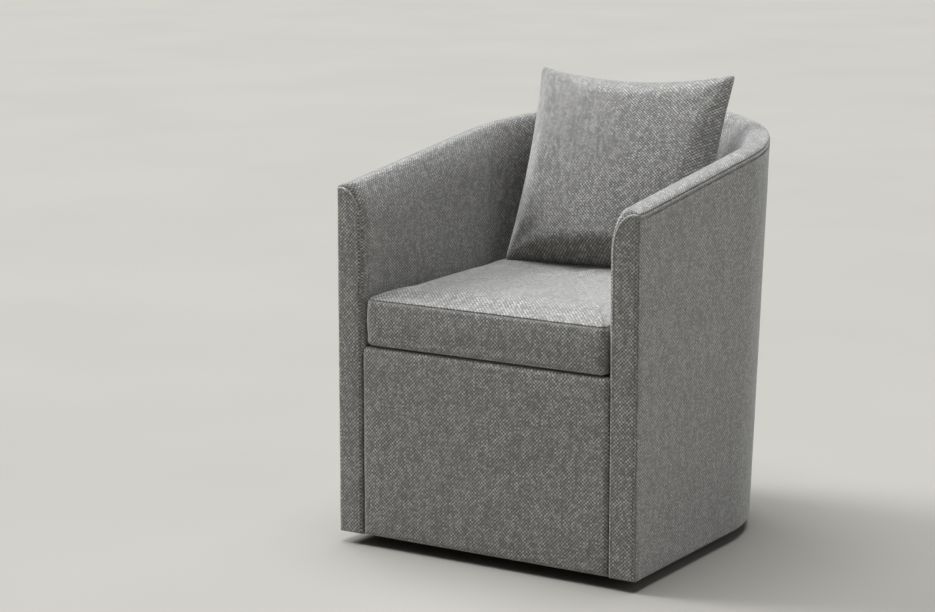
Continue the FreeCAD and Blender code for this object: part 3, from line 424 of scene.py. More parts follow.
def crest_rows():
    """The roll over the crest, outer curve and inner curve."""
    wide, high = ROLL_OUTER
    top = facing_top() + ROLL_END
    end_wide, end_high = FACING_CORNER[0] + ROLL_END, FACING_CORNER[1] + ROLL_END
    end_centre = WALL - FRONT_TUCK - end_wide
    rows = []
    for angle in turn(25, 90, 12):
        share = 1 - math.cos(angle)
        end_inset = EDGE_TUCK + (end_centre - EDGE_TUCK) * share
        end_z = top - LAP_END * (1 - share) ** 2
        rows.append(ended_row(wide * share, ROLL_START - high * math.sin(angle), end_inset, end_z))
    wide, high = ROLL_INNER
    for angle in turn(4, 90, 24):
        sine, cosine = math.sin(angle), math.cos(angle)
        end_inset = end_centre + end_wide * sine
        end_z = top - end_high * (1 - cosine)
        rows.append(ended_row(ROLL_OUTER[0] + wide * sine, high * (1 - cosine) - ROLL_RISE, end_inset, end_z))
    return rows


def inside_rows():
    """The padding's closed section: over the crest, down the inside, and back up along the board."""
    edge = roll_inset(SEAM_DROP)
    inner_shift = (-FRONT_TUCK, 0)
    rows = [profile_row(edge + inward, SEAM_DROP - up, shift=(EDGE_TUCK, 0)) for inward, up in LAP]
    rows += crest_rows()
    for share in np.linspace(0.03, 0.985, 34):
        rows.append(profile_row(WALL, ROLL_INNER[1] - ROLL_RISE, low=share, rise=PAD_RISE, shift=inner_shift))
    rows += [profile_row(inset, low=1.0, rise=rise, shift=inner_shift) for inset, rise in PAD_EDGE]
    rows += [profile_row(inset, low=1.0) for inset in PAD_FOOT]
    for share in (0.75, 0.5, 0.25, 0.0):
        rows.append(profile_row(BOARD_INNER, BOARD_DROP, low=share))
    rows += [profile_row(inset, drop, shift=(inward, down)) for inset, drop, inward, down in BOARD_TOP]
    return rows


def make_inside_pad():
    rows = inside_rows()
    points, weave = wall_grid(rows, WALL_FOOT)
    inset, drop = np.array(rows).T[:2, :, None]
    push_wall(points, weave, (inset > ROLL_OUTER[0] + 0.004) & (drop > 0.004), PAD_WAVES, PAD_UNEVEN)
    return capped_loop("inside_pad", points, weave)


# ---- Front facings and the panel between them ----

def edge_distance(x, z, outline):
    """Distance of each point of a flat from its outline."""
    best = np.full(x.shape, 1e9)
    following = np.roll(outline, -1, axis=0)
    for (ax, az), (bx, bz) in zip(outline, following):
        dx, dz = bx - ax, bz - az
        length = dx * dx + dz * dz
        if length < 1e-14:
            continue
        share = np.clip(((x - ax) * dx + (z - az) * dz) / length, 0, 1)
        best = np.minimum(best, np.hypot(x - ax - share * dx, z - az - share * dz))
    return best


def spaced_rows(low, high, count, ease):
    """Values from low to high that crowd towards both ends."""
    share = np.linspace(0, 1, count)
    return low + (high - low) * ((1 - ease) * share + ease * 0.5 * (1 - np.cos(np.pi * share)))


def padded_flat(name, sides, reach, roll, thick, crown, back, cells, seed):
    """An upright padded panel from a low to a high level. Sides gives its left and right edge at a
    height, and back where its back face lies. The face rolls back at the edges and swells by crown."""
    across, up = cells
    levels = spaced_rows(*reach, up, 0.8)
    share = spaced_rows(0.0, 1.0, across, 0.7)
    left = np.array([sides(z)[0] for z in levels])
    right = np.array([sides(z)[1] for z in levels])
    x = left[:, None] + (right - left)[:, None] * share[None, :]
    z = np.repeat(levels[:, None], across, axis=1)
    flat = np.stack([x.ravel(), z.ravel()], axis=1)
    away = edge_distance(x, z, flat[border_ring(up, across)])
    inner = np.clip(away / roll, 0, 1)
    height = thick * np.sqrt(np.clip(1 - (1 - inner) ** 2, 0, 1))
    swell = crown * (1 - np.exp(-away / (4 * roll)))
    uneven = FLAT_UNEVEN * soft_waves(x, z, seed, FLAT_WAVE) * inner
    y = FRONT + thick - height - swell + crown + abs(uneven)
    front = np.stack([x, y, z], axis=-1)
    behind = front.copy()
    behind[..., 1] = np.array([back(level) for level in levels])[:, None]
    return closed_flat(name, front, behind)


def border_ring(rows, columns):
    """Indices round the border of a grid."""
    ring = [c for c in range(columns)]
    ring += [r * columns + columns - 1 for r in range(1, rows)]
    ring += [(rows - 1) * columns + c for c in range(columns - 2, -1, -1)]
    ring += [r * columns for r in range(rows - 2, 0, -1)]
    return ring


def closed_flat(name, front, behind):
    """Join a front grid and a back grid round their edges."""
    rows, columns = front.shape[:2]
    count = rows * columns
    faces = grid_faces(rows, columns)
    faces += [tuple(count + i for i in quad[::-1]) for quad in grid_faces(rows, columns)]
    ring = border_ring(rows, columns)
    for here, there in zip(ring, ring[1:] + ring[:1]):
        faces.append((here, there, there + count, here + count))
    points = np.concatenate([front.reshape(-1, 3), behind.reshape(-1, 3)])
    piece = mesh_from(name, points, faces)
    face_outwards(piece)
    box_weave(piece.data)
    return piece


def facing_top():
    return CREST_FRONT + FACING_RISE


def round_corner(z, top, size):
    """How far a side has come in at a height, below a top edge with an elliptical corner."""
    wide, tall = size
    up = min(max((z - (top - tall)) / tall, 0.0), 1.0)
    return wide * (1 - math.sqrt(1 - up * up))


def facing_sides(side):
    """Left and right edge of an arm's facing at a height, with its large inner top corner."""
    def edges(z):
        near = FACING_NEAR + round_corner(z, facing_top(), FACING_CORNER)
        far = FACING_FAR - round_corner(z, facing_top(), FACING_OUTER_CORNER)
        return (near, far) if side > 0 else (-far, -near)

    return edges


def make_facing(name, side):
    def back(z):
        return WALL_START - BACK_GAP if z < WALL_FOOT - 0.004 else FRONT + FACING_FACE + 0.0004

    return padded_flat(name, facing_sides(side), (HEM, facing_top()), FACING_ROLL, FACING_FACE - 0.0004,
                       FACING_CROWN, back, FACING_CELLS, FACING_SEED)


def make_front_panel():
    def sides(z):
        half = PANEL_HALF - round_corner(z, PANEL_TOP, PANEL_CORNER)
        return -half, half

    def back(z):
        return WALL_START - BACK_GAP

    return padded_flat("front_panel", sides, (HEM, PANEL_TOP), PANEL_ROLL, PANEL_THICK, PANEL_CROWN, back,
                       PANEL_CELLS, PANEL_SEED)


# ---- Seat cushion ----

def seat_outline(count, half, front, centre, corner):
    """Points round the D-shaped cushion, evenly spaced, from the middle of its back."""
    side, near = half - corner, front + corner
    arcs = ((side, near, corner, -90, 0, 12), (0, centre, half, 0, 180, 90),
            (-side, near, corner, 180, 270, 12))
    path = [(0.0, front)]
    for x, y, radius, start, end, steps in arcs:
        for angle in turn(start, end, steps):
            path.append((x + radius * math.cos(angle), y + radius * math.sin(angle)))
    path.append((0.0, front))
    path = np.array(path)
    along = along_line(path)
    at = np.linspace(0, along[-1], count, endpoint=False)
    ring = np.stack([np.interp(at, along, path[:, k]) for k in (0, 1)], axis=1)
    return np.roll(ring, count // 2, axis=0), along[-1]


def seat_sections():
    """Rings of the cushion from the middle of its underside to the middle of its top:
    share of the outline's size, inset from it, and height."""
    sections = []
    for share in np.linspace(SEAT_SMALLEST, 0.98, 24):
        sections.append((share, SEAT_FOOT, SEAT_BASE))
    for angle in turn(0, 90, 7):
        inset = SEAT_FOOT * (1 - math.sin(angle))
        sections.append((1.0, inset, SEAT_BASE + SEAT_FOOT * (1 - math.cos(angle))))
    low = SEAT_BASE + SEAT_FOOT
    for share in np.linspace(0, 1, 13)[1:]:
        bulge = SEAT_BULGE * math.sin(math.pi * share)
        sections.append((1.0, SEAT_EDGE - bulge, low + (SEAT_SEAM - 0.002 - low) * share))
    sections.append((1.0, SEAT_SEAM_INSET, SEAT_SEAM))
    for away in SEAT_TOP_STEPS:
        sections.append((1.0, SEAT_SEAM_INSET + away, SEAT_SEAM + crown_at(away)))
    for share in np.linspace(0.98, SEAT_SMALLEST, 38):
        away = SEAT_TOP_STEPS[-1] + (1 - share) * 0.25
        sections.append((share, SEAT_TOP_INSET, SEAT_SEAM + crown_at(away)))
    return sections


def crown_at(away):
    """Rise of the cushion's top that far in from its seam."""
    return SEAT_CROWN * (1 - math.exp(-away / 0.020)) * (0.86 + 0.14 * min(1.0, away / 0.2))


def ring_normals(ring):
    """Outward direction at every point of a closed ring."""
    ahead = np.roll(ring, -1, axis=0) - np.roll(ring, 1, axis=0)
    ahead /= np.linalg.norm(ahead, axis=1)[:, None]
    return np.stack([ahead[:, 1], -ahead[:, 0]], axis=1)


def seat_grid():
    half = SEAT_HIGH.x - 0.0008
    front = SEAT_LOW.y - SEAT_PROUD
    centre = centre_y(SEAT_LOW.z)
    ring, around = seat_outline(SEAT_RING, half, front, centre, SEAT_CORNER)
    out = ring_normals(ring)
    middle = np.array(SEAT_MIDDLE)
    points, weave = [], []
    for share, inset, z in seat_sections():
        flat = middle + (ring - middle - out * inset) * share
        points.append(np.column_stack([flat, np.full(SEAT_RING, z)]))
        band = share > 0.99 and z < SEAT_SEAM - 0.0001
        run = np.arange(SEAT_RING) * around / SEAT_RING
        weave.append(np.column_stack([run, np.full(SEAT_RING, z)]) if band else flat)
    return np.array(points), np.array(weave)


def make_seat_pad():
    points, weave = seat_grid()
    rows, columns = points.shape[:2]
    faces = grid_faces(rows, columns, closed_columns=True)
    faces.append([c for c in reversed(range(columns))])
    faces.append([(rows - 1) * columns + c for c in range(columns)])
    piece = mesh_from("seat_pad", points.reshape(-1, 3), faces)
    face_outwards(piece)
    seam = [k for k, s in enumerate(seat_sections()) if abs(s[2] - SEAT_SEAM) < 1e-9][0]
    hold = np.zeros((rows, columns))
    hold[:SEAT_HELD_ROWS] = 1.0
    hold[SEAT_HELD_ROWS:seam - 1] = 0.55
    hold[seam - 1:seam + 2] = 0.9
    puff(piece, hold.ravel(), pressure=2.2, frames=14, cap=0.006, stiffness=22.0)
    settle_seat(piece, rows, columns, seam)
    seat_weave(piece.data, weave.reshape(-1, 2), columns, seam)
    return piece


def settle_seat(piece, rows, columns, seam):
    """Keep the cushion off the arms and the deck, soften its top, and pull its seam in."""
    points = read_points(piece)
    grid = points.reshape(rows, columns, 3)
    top = grid[seam + 1:]
    rise = np.clip((top[..., 2] - SEAT_SEAM) / SEAT_CROWN, 0, 1)
    away = (top[..., :2] - np.array(SEAT_HOLLOW_PLACE)) / SEAT_HOLLOW_SIZE
    hollow = np.exp(-(away ** 2).sum(axis=-1))
    waves = soft_waves(top[..., 0], top[..., 1], **SEAT_WAVES)
    top[..., 2] += rise * (SEAT_UNEVEN * waves - SEAT_HOLLOW * hollow)
    middle = grid[seam].mean(axis=0)
    inward = middle[None, :2] - grid[seam][:, :2]
    inward /= np.linalg.norm(inward, axis=1)[:, None]
    grid[seam, :, :2] += inward * SEAM_PULL
    limit = SEAT_HIGH.x + 0.0006
    grid[..., 0] = np.clip(grid[..., 0], -limit, limit)
    grid[..., 2] = np.clip(grid[..., 2], SEAT_LOW.z + 0.0004, SEAT_HIGH.z + 0.006)
    write_points(piece, grid.reshape(-1, 3))


def seat_weave(mesh, weave, columns, seam):
    """Weave coordinates: along and up on the border, flat on the top and the underside."""
    layer = mesh.uv_layers.new(name="weave")
    for face in mesh.polygons:
        corners = [mesh.loops[i].vertex_index for i in face.loop_indices]
        values = weave[corners].copy()
        if min(corners) >= seam * columns:
            values = np.array([mesh.vertices[i].co[:2] for i in corners])
        elif len(corners) == 4 and values[:, 0].max() - values[:, 0].min() > 0.5:
            around = values[:, 0].max() * columns / (columns - 1)
            values[:, 0] = np.where(values[:, 0] < 0.5, values[:, 0] + around, values[:, 0])
        for loop, value in zip(face.loop_indices, values):
            layer.data[loop].uv = value


def read_points(piece):
    points = np.zeros(len(piece.data.vertices) * 3, np.float32)
    piece.data.vertices.foreach_get("co", points)
    return points.reshape(-1, 3).astype(float)


def write_points(piece, points):
    piece.data.vertices.foreach_set("co", points.astype(np.float32).ravel())
    piece.data.update()


def puff(piece, hold, pressure, frames, cap, stiffness):
    """Swell a closed piece by cloth simulation with air pressure. Hold is 1 where it may not move,
    and cap is the longest step of a point."""
    start = read_points(piece)
    group = piece.vertex_groups.new(name="hold")
    for index, weight in enumerate(hold):
        if weight > 0:
            group.add([index], float(weight), "REPLACE")
    cloth = piece.modifiers.new("air", "CLOTH")
    for name, value in (*CLOTH.items(), ("shear_stiffness", stiffness / 3), ("tension_stiffness", stiffness),
                        ("compression_stiffness", stiffness), ("uniform_pressure_force", pressure)):
        setattr(cloth.settings, name, value)
    cloth.settings.effector_weights.gravity = 0
    cloth.collision_settings.use_collision = False
    scene = bpy.context.scene
    cloth.point_cache.frame_start = 1
    cloth.point_cache.frame_end = frames
    for number in range(1, frames + 1):
        scene.frame_set(number)
    evaluated = piece.evaluated_get(bpy.context.evaluated_depsgraph_get())
    step = read_points(evaluated) - start
    piece.modifiers.remove(cloth)
    piece.vertex_groups.remove(group)
    scene.frame_set(1)
    length = np.linalg.norm(step, axis=1)[:, None]
    step *= np.minimum(1.0, cap / np.maximum(length, 1e-9))
    write_points(piece, start + step)


# ---- Pillow ----

def pillow_grid():
    """Two square panels with a common edge, hardly filled: x, depth and height of every point."""
    share = np.linspace(-1, 1, PILLOW_CELLS + 1)
    x, z = np.meshgrid(share, share)
    bow = 1 - PILLOW_SLACK_BOW * (1 - np.minimum(abs(x), abs(z)) ** 2)
    bulge = PILLOW_SLACK_DEPTH * (1 - x ** 2) ** 0.55 * (1 - z ** 2) ** 0.55
    half = PILLOW_SIDE / 2
    panels = []
    for side in (-1, 1):
        panels.append(np.stack([x * half * bow, side * bulge, z * half * bow], axis=-1))
    return panels, np.stack([x * half, z * half], axis=-1)


def pillow_faces():
    """Faces of both panels, and for each face its corners on the panels' own grid."""
    columns = PILLOW_CELLS + 1
    count = columns * columns

    def back_index(i):
        r, c = divmod(i, columns)
        edge = r in (0, PILLOW_CELLS) or c in (0, PILLOW_CELLS)
        return i if edge else count + i

    front = grid_faces(columns, columns)
    turned = [quad[::-1] for quad in front]
    back = [tuple(back_index(i) for i in quad) for quad in turned]
    return front + back, front + turned


def make_pillow():
    (front, back), flat = pillow_grid()
    faces, corners = pillow_faces()
    points = np.concatenate([front.reshape(-1, 3), back.reshape(-1, 3)])
    used = sorted({i for face in faces for i in face})
    renumber = {old: new for new, old in enumerate(used)}
    faces = [tuple(renumber[i] for i in face) for face in faces]
    piece = mesh_from("throw_pillow", points[used], faces)
    puff(piece, np.zeros(len(used)), pressure=3.2, frames=16, cap=0.060, stiffness=12.0)
    columns = PILLOW_CELLS + 1
    shape_pillow(piece, np.array([divmod(old % (columns * columns), columns) for old in used]))
    layer = piece.data.uv_layers.new(name="weave")
    flat = flat.reshape(-1, 2)
    for face, whole, own in zip(piece.data.polygons, faces, corners):
        values = {vertex: flat[i] for vertex, i in zip(whole, own)}
        for loop in face.loop_indices:
            layer.data[loop].uv = values[piece.data.loops[loop].vertex_index]
    face_outwards(piece)
    lean = Matrix.Rotation(math.radians(-PILLOW_LEAN), 4, "X")
    twist = Matrix.Rotation(math.radians(PILLOW_TURN), 4, "Z")
    piece.data.transform(Matrix.Translation(PILLOW_CENTRE) @ twist @ lean)
    piece.data.update()
    smooth = piece.modifiers.new("smooth", "SUBSURF")
    smooth.levels = 1
    smooth.render_levels = 1
    return piece


def soft_corner(x, z):
    """A square's coordinates, -1 to 1, with its corners rounded."""
    size = PILLOW_EAR / PILLOW_HALF
    u = np.clip((abs(x) - 1 + size) / size, 0, 1)
    v = np.clip((abs(z) - 1 + size) / size, 0, 1)
    round_x = np.where(u > 0, 1 - size + size * u * np.sqrt(1 - v * v / 2), abs(x))
    round_z = np.where(v > 0, 1 - size + size * v * np.sqrt(1 - u * u / 2), abs(z))
    return np.sign(x) * round_x, np.sign(z) * round_z


def corner_folds(x, z):
    """Short pinched folds that fan out of the pillow's corners and fade to nothing at its edges."""
    fold = np.zeros(x.shape)
    for number, (side, end) in enumerate(((-1, 1), (1, 1), (-1, -1), (1, -1))):
        across, up = 1 - side * x, 1 - end * z
        away = np.hypot(across, up) * PILLOW_HALF
        heading = np.arctan2(up, across)
        reach = (away / FOLD_REACH) * np.exp(1 - (away / FOLD_REACH) ** 1.5)
        fold += FOLD_DEPTH * reach * np.sin(FOLD_COUNT * heading + 1.7 * number)
    inside = np.clip(4 * (1 - np.maximum(abs(x), abs(z))), 0, 1)
    return fold * inside


def shape_pillow(piece, places):
    """Give the filled pillow its outline, with bowed edges and soft corners. Its folds stay."""
    points = read_points(piece)
    z, x = places.T * 2 / PILLOW_CELLS - 1
    flat_x, flat_z = soft_corner(x, z)
    foot = np.where(z > 0, PILLOW_BOW_TOP, PILLOW_BOW_FOOT)
    points[:, 0] = PILLOW_HALF * flat_x * (1 - PILLOW_BOW_SIDE * (1 - z ** 2))
    points[:, 2] = PILLOW_HALF * flat_z * (1 - foot * (1 - x ** 2))
    points[:, 1] *= PILLOW_DEPTH / abs(points[:, 1]).max()
    points[:, 1] *= 1 - PILLOW_TOP_THIN * z
    points[:, 1] += np.sign(points[:, 1]) * corner_folds(x, z)
    write_points(piece, points)


# ---- Deck and underside, cut fine from their CAD shapes ----

def fine_copy(node, name, step):
    """A new piece with a CAD node's shape, cut into a fine grid so that it can bend."""
    shape = bmesh.new()
    shape.from_mesh(frame["nodes"][node].data)
    bmesh.ops.remove_doubles(shape, verts=shape.verts, dist=1e-6)
    bmesh.ops.dissolve_limit(shape, angle_limit=0.01, verts=shape.verts, edges=shape.edges)
    low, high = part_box(node)
    for axis in (0, 1):
        normal = Vector((axis == 0, axis == 1, 0))
        for at in np.arange(low[axis] + step / 2, high[axis], step):
            spot = normal * float(at)
            everything = shape.verts[:] + shape.edges[:] + shape.faces[:]
            bmesh.ops.bisect_plane(shape, geom=everything, dist=1e-6, plane_co=spot, plane_no=normal)
    mesh = bpy.data.meshes.new(name)
    shape.to_mesh(mesh)
    shape.free()
    mesh.polygons.foreach_set("use_smooth", [True] * len(mesh.polygons))
    return add_object(name, mesh)


def make_deck_cloth():
    """The quilted platform under the loose cushion."""
    piece = fine_copy("deck_pad", "deck_cloth", 0.007)
    points = read_points(piece)
    low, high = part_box("deck_pad")
    rows = abs(((points[:, 1] - low.y) / QUILT_STEP) % 1 - 0.5) * QUILT_STEP
    dip = QUILT_DIP * np.exp(-(rows / QUILT_WIDTH) ** 2)
    points[:, 2] -= np.where(points[:, 2] > high.z - 0.001, dip, 0)
    write_points(piece, points)
    box_weave(piece.data)
    return piece


def make_underside_cloth():
    """The thin dust cloth under the swivel board, sagging between its staples."""
    piece = fine_copy("dust_cover", "underside_cloth", 0.011)
    points = read_points(piece)
    low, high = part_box("dust_cover")
    x = points[:, 0] / high.x
    y = (points[:, 1] - (low.y + high.y) / 2) / ((high.y - low.y) / 2)
    share = np.clip(1 - x ** 2, 0, 1) * np.clip(1 - y ** 2, 0, 1)
    wrinkle = soft_waves(points[:, 0], points[:, 1], **DUST_WAVES)
    points[:, 2] -= share * (DUST_SAG + DUST_UNEVEN * wrinkle)
    write_points(piece, points)
    box_weave(piece.data)
    return piece


# ---- Stitches ----

def along_line(line):
    """Length along a line at each of its points."""
    return np.concatenate([[0], np.cumsum(np.linalg.norm(np.diff(line, axis=0), axis=1))])


def add_stitch(points, faces, spots, out):
    """One raised thread through its spots, closed at both ends."""
    first = len(points)
    ahead = spots[-1] - spots[0]
    ahead /= np.linalg.norm(ahead)
    side = np.cross(ahead, out)
    for spot, (_, size, height) in zip(spots, STITCH_RINGS):
        for angle in np.linspace(0, 2 * np.pi, STITCH_SIDES, endpoint=False):
            ring = side * math.cos(angle) + out * math.sin(angle)
            points.append(spot + out * STITCH_RADIUS * height + ring * STITCH_RADIUS * size)
    quads = grid_faces(len(spots), STITCH_SIDES, closed_columns=True)
    faces += [tuple(first + i for i in quad) for quad in quads]
    faces.append([first + k for k in reversed(range(STITCH_SIDES))])
    faces.append([first + (len(spots) - 1) * STITCH_SIDES + k for k in range(STITCH_SIDES)])


def stitch_row(name, lines):
    """Short raised threads along lines. A line is its points and the outward direction at each."""
    points, faces = [], []
    for line, outward in lines:
        along = along_line(line)
        for start in np.arange(STITCH_GAP, along[-1] - STITCH_LENGTH, STITCH_LENGTH + STITCH_GAP):
            spots = [np.array([np.interp(start + STITCH_LENGTH * share, along, line[:, k]) for k in range(3)])
                     for share, _, _ in STITCH_RINGS]
            middle = start + STITCH_LENGTH / 2
            out = np.array([np.interp(middle, along, outward[:, k]) for k in range(3)])
            add_stitch(points, faces, spots, out / np.linalg.norm(out))
    points = np.array(points)
    return mesh_from(name, points, faces, points[:, [0, 2]])


def wall_line(inset, drop, shift):
    """A line along the crest at one inset and drop, with its outward directions."""
    rows = [profile_row(inset, drop + further, shift=shift) for further in (0.0, 0.01)]
    points, _ = wall_grid(rows, HEM)
    x, y = plan_normals()
    outward = np.stack([x, y, 0 * x], axis=-1)
    return points[0], outward


def make_crest_stitches():
    """One row above the seam, on the roll, and one in the sewn channel below it."""
    shift = (EDGE_TUCK, 0.0)
    drop = SEAM_DROP - 0.0022
    above = wall_line(roll_inset(drop), drop, shift)
    below = wall_line(0.0012, SEAM_DROP + SEAM_GAP, shift)
    return stitch_row("crest_stitches", [above, below])


def facing_line(side, away):
    """A line on an arm's facing that far inside its inner edge and top."""
    top = facing_top()
    wide, tall = FACING_CORNER
    line = [(FACING_NEAR + away, z) for z in np.linspace(HEM + 0.006, top - tall, 160, endpoint=False)]
    for angle in turn(0, 88, 40):
        line.append((FACING_NEAR + wide - (wide - away) * math.cos(angle),
                     top - tall + (tall - away) * math.sin(angle)))
    flat = np.array(line)
    points = np.column_stack([side * flat[:, 0], np.full(len(flat), FRONT + STITCH_DEPTH), flat[:, 1]])
    outward = np.tile(np.array([0.0, -1.0, 0.0]), (len(flat), 1))
    return points, outward


# ---- Materials ----

class Graph:
    """A material's nodes, wired by short calls."""

    def __init__(self, name):
        self.material = bpy.data.materials.new(name)
        self.material.use_nodes = True
        self.nodes = self.material.node_tree.nodes
        self.links = self.material.node_tree.links
        self.shader = self.nodes["Principled BSDF"]

    def add(self, kind, **settings):
        node = self.nodes.new(kind)
        for key, value in settings.items():
            setattr(node, key, value)
        return node

    def plug(self, socket, value):
        if isinstance(value, bpy.types.NodeSocket):
            self.links.new(value, socket)
        else:
            socket.default_value = value

    def math(self, operation, first, second=0.0, third=0.0):
        node = self.add("ShaderNodeMath", operation=operation)
        for socket, value in zip(node.inputs, (first, second, third)):
            self.plug(socket, value)
        return node.outputs[0]

    def blend(self, *parts):
        """The sum of values, each times its weight."""
        total = 0.0
        for value, weight in parts:
            total = self.math("MULTIPLY_ADD", value, weight, total)
        return total

    def either(self, choice, first, second):
        """The first value where choice is 1, the second where it is 0."""
        other = self.math("SUBTRACT", 1.0, choice)
        return self.math("ADD", self.math("MULTIPLY", choice, first), self.math("MULTIPLY", other, second))

    def cell(self, value, size):
        """The number of the whole cell of that size in which a value lies."""
        return self.math("FLOOR", self.math("DIVIDE", value, size))

    def arch(self, along):
        """A rounded rise over every whole step of a value."""
        return self.math("SINE", self.math("MULTIPLY", self.math("FRACT", along), math.pi))

    def set(self, **values):
        """Set the shader's own sockets, named with _ for a space."""
        for name, value in values.items():
            self.shader.inputs[name.replace("_", " ")].default_value = value

    def colour(self, value, *stops):
        """Colour the shader by a value, with a ramp through the stops."""
        self.plug(self.shader.inputs["Base Color"], self.ramp(value, stops))

    def split(self, vector):
        node = self.add("ShaderNodeSeparateXYZ")
        self.plug(node.inputs[0], vector)
        return node.outputs

    def join(self, x, y, z=0.0):
        node = self.add("ShaderNodeCombineXYZ")
        for socket, value in zip(node.inputs, (x, y, z)):
            self.plug(socket, value)
        return node.outputs[0]

    def chance(self, vector):
        """A repeatable random number for each whole place."""
        node = self.add("ShaderNodeTexWhiteNoise", noise_dimensions="2D")
        self.plug(node.inputs["Vector"], vector)
        return node.outputs["Value"]

    def noise(self, vector, scale, detail=2.0, rough=0.5):
        node = self.add("ShaderNodeTexNoise")
        self.plug(node.inputs["Vector"], vector)
        node.inputs["Scale"].default_value = scale
        node.inputs["Detail"].default_value = detail
        node.inputs["Roughness"].default_value = rough
        return node.outputs["Fac"]

    def ramp(self, value, stops):
        node = self.add("ShaderNodeValToRGB")
        self.plug(node.inputs["Fac"], value)
        elements = node.color_ramp.elements
        while len(elements) < len(stops):
            elements.new(0.5)
        for element, (at, colour) in zip(elements, stops):
            element.position = at
            element.color = (*colour, 1.0)
        return node.outputs["Color"]

    def bump(self, height, strength, distance):
        node = self.add("ShaderNodeBump")
        node.inputs["Strength"].default_value = strength
        node.inputs["Distance"].default_value = distance
        self.plug(node.inputs["Height"], height)
        self.plug(self.shader.inputs["Normal"], node.outputs["Normal"])

    def scaled(self, vector, factors):
        node = self.add("ShaderNodeMapping")
        self.plug(node.inputs["Vector"], vector)
        node.inputs["Scale"].default_value = factors
        return node.outputs["Vector"]

    def weave_place(self):
        return self.add("ShaderNodeUVMap", uv_map="weave").outputs["UV"]

    def object_place(self):
        return self.add("ShaderNodeTexCoord").outputs["Object"]


def grey(value, warm=0.0):
    """A grey, redder and less blue by the share warm."""
    return (value * (1 + warm), value, value * (1 - 1.6 * warm))


def woven(graph, place, pitch):
    """A plain weave: which thread lies on top, each thread's tone, and the height of the surface."""
    x, y, _ = graph.split(place)
    across = graph.math("DIVIDE", x, pitch)
    up = graph.math("DIVIDE", y, pitch)
    column = graph.math("FLOOR", across)
    row = graph.math("FLOOR", up)
    count = graph.math("ADD", graph.math("ADD", column, row), WEAVE_START)
    parity = graph.math("MODULO", count, 2.0)
    height = graph.either(parity, graph.arch(across), graph.arch(up))
    warp_run = yarn_run(graph, up, WARP_RUN, graph.join(column, 3.0))
    weft_run = yarn_run(graph, across, WEFT_RUN, graph.join(5.0, row))
    tone = graph.either(parity, graph.chance(graph.join(column, warp_run)),
                        graph.chance(graph.join(weft_run, row)))
    coarse = graph.chance(graph.join(graph.cell(across, 2.0), graph.cell(up, 2.0)))
    fleck = graph.blend((coarse, 0.25), (graph.chance(graph.join(column, row)), 0.75))
    return tone, fleck, height, parity


def yarn_run(graph, along, length, yarn):
    """Which stretch of one tone a place along a yarn lies in, shifted by chance from yarn to yarn."""
    shift = graph.math("MULTIPLY", graph.chance(yarn), RUN_SHIFT)
    return graph.math("FLOOR", graph.math("ADD", graph.math("DIVIDE", along, length), shift))


def tweed_material():
    """Heathered grey tweed: light and dark yarns in a plain weave, with slubs and soft blotches."""
    graph = Graph("tweed")
    place = graph.weave_place()
    tone, fleck, height, parity = woven(graph, place, TWEED_PITCH)
    cloud = graph.noise(place, 9.0, 3.0)
    fuzz = graph.noise(place, 900.0, 2.0)
    slub = graph.noise(graph.scaled(place, (420.0, 26.0, 1.0)), 1.0, 1.0)
    slub_across = graph.noise(graph.scaled(place, (22.0, 420.0, 1.0)), 1.0, 1.0)
    mixed = graph.blend((parity, 0.36), (tone, 0.16), (fleck, 0.34), (cloud, 0.04), (slub, 0.03),
                        (slub_across, 0.03))
    graph.colour(mixed, (0.24, grey(0.090, 0.02)), (0.44, grey(0.175, 0.03)), (0.60, grey(0.255, 0.03)),
                 (0.84, grey(0.520, 0.03)))
    graph.set(Roughness=0.92, Specular_IOR_Level=0.15, Sheen_Weight=0.60, Sheen_Roughness=0.55)
    graph.bump(graph.blend((height, 1.0), (fuzz, 0.5), (slub, 0.5)), 0.55, 0.0006)
    return graph.material


def cloth_material(name, dark, light, pitch):
    """Plain woven or felted cloth."""
    graph = Graph(name)
    place = graph.weave_place()
    tone, fleck, height, _ = woven(graph, place, pitch)
    cloud = graph.noise(place, 14.0, 4.0)
    mixed = graph.blend((fleck, 0.25), (tone, 0.35), (cloud, 0.4))
    graph.colour(mixed, (0.2, dark), (0.8, light))
    graph.set(Roughness=0.9, Sheen_Weight=0.15)
    graph.bump(height, 0.5, 0.0004)
    return graph.material


def foam_material(name, dark, light, scale):
    """Open foam or wadding with pores."""
    graph = Graph(name)
    place = graph.object_place()
    pores = graph.add("ShaderNodeTexVoronoi")
    graph.plug(pores.inputs["Vector"], place)
    pores.inputs["Scale"].default_value = scale
    cloud = graph.noise(place, 12.0, 3.0)
    mixed = graph.blend((cloud, 0.5), (pores.outputs["Distance"], 0.6))
    graph.colour(mixed, (0.2, dark), (0.8, light))
    graph.set(Roughness=0.95)
    graph.bump(pores.outputs["Distance"], 0.5, 0.0006)
    return graph.material


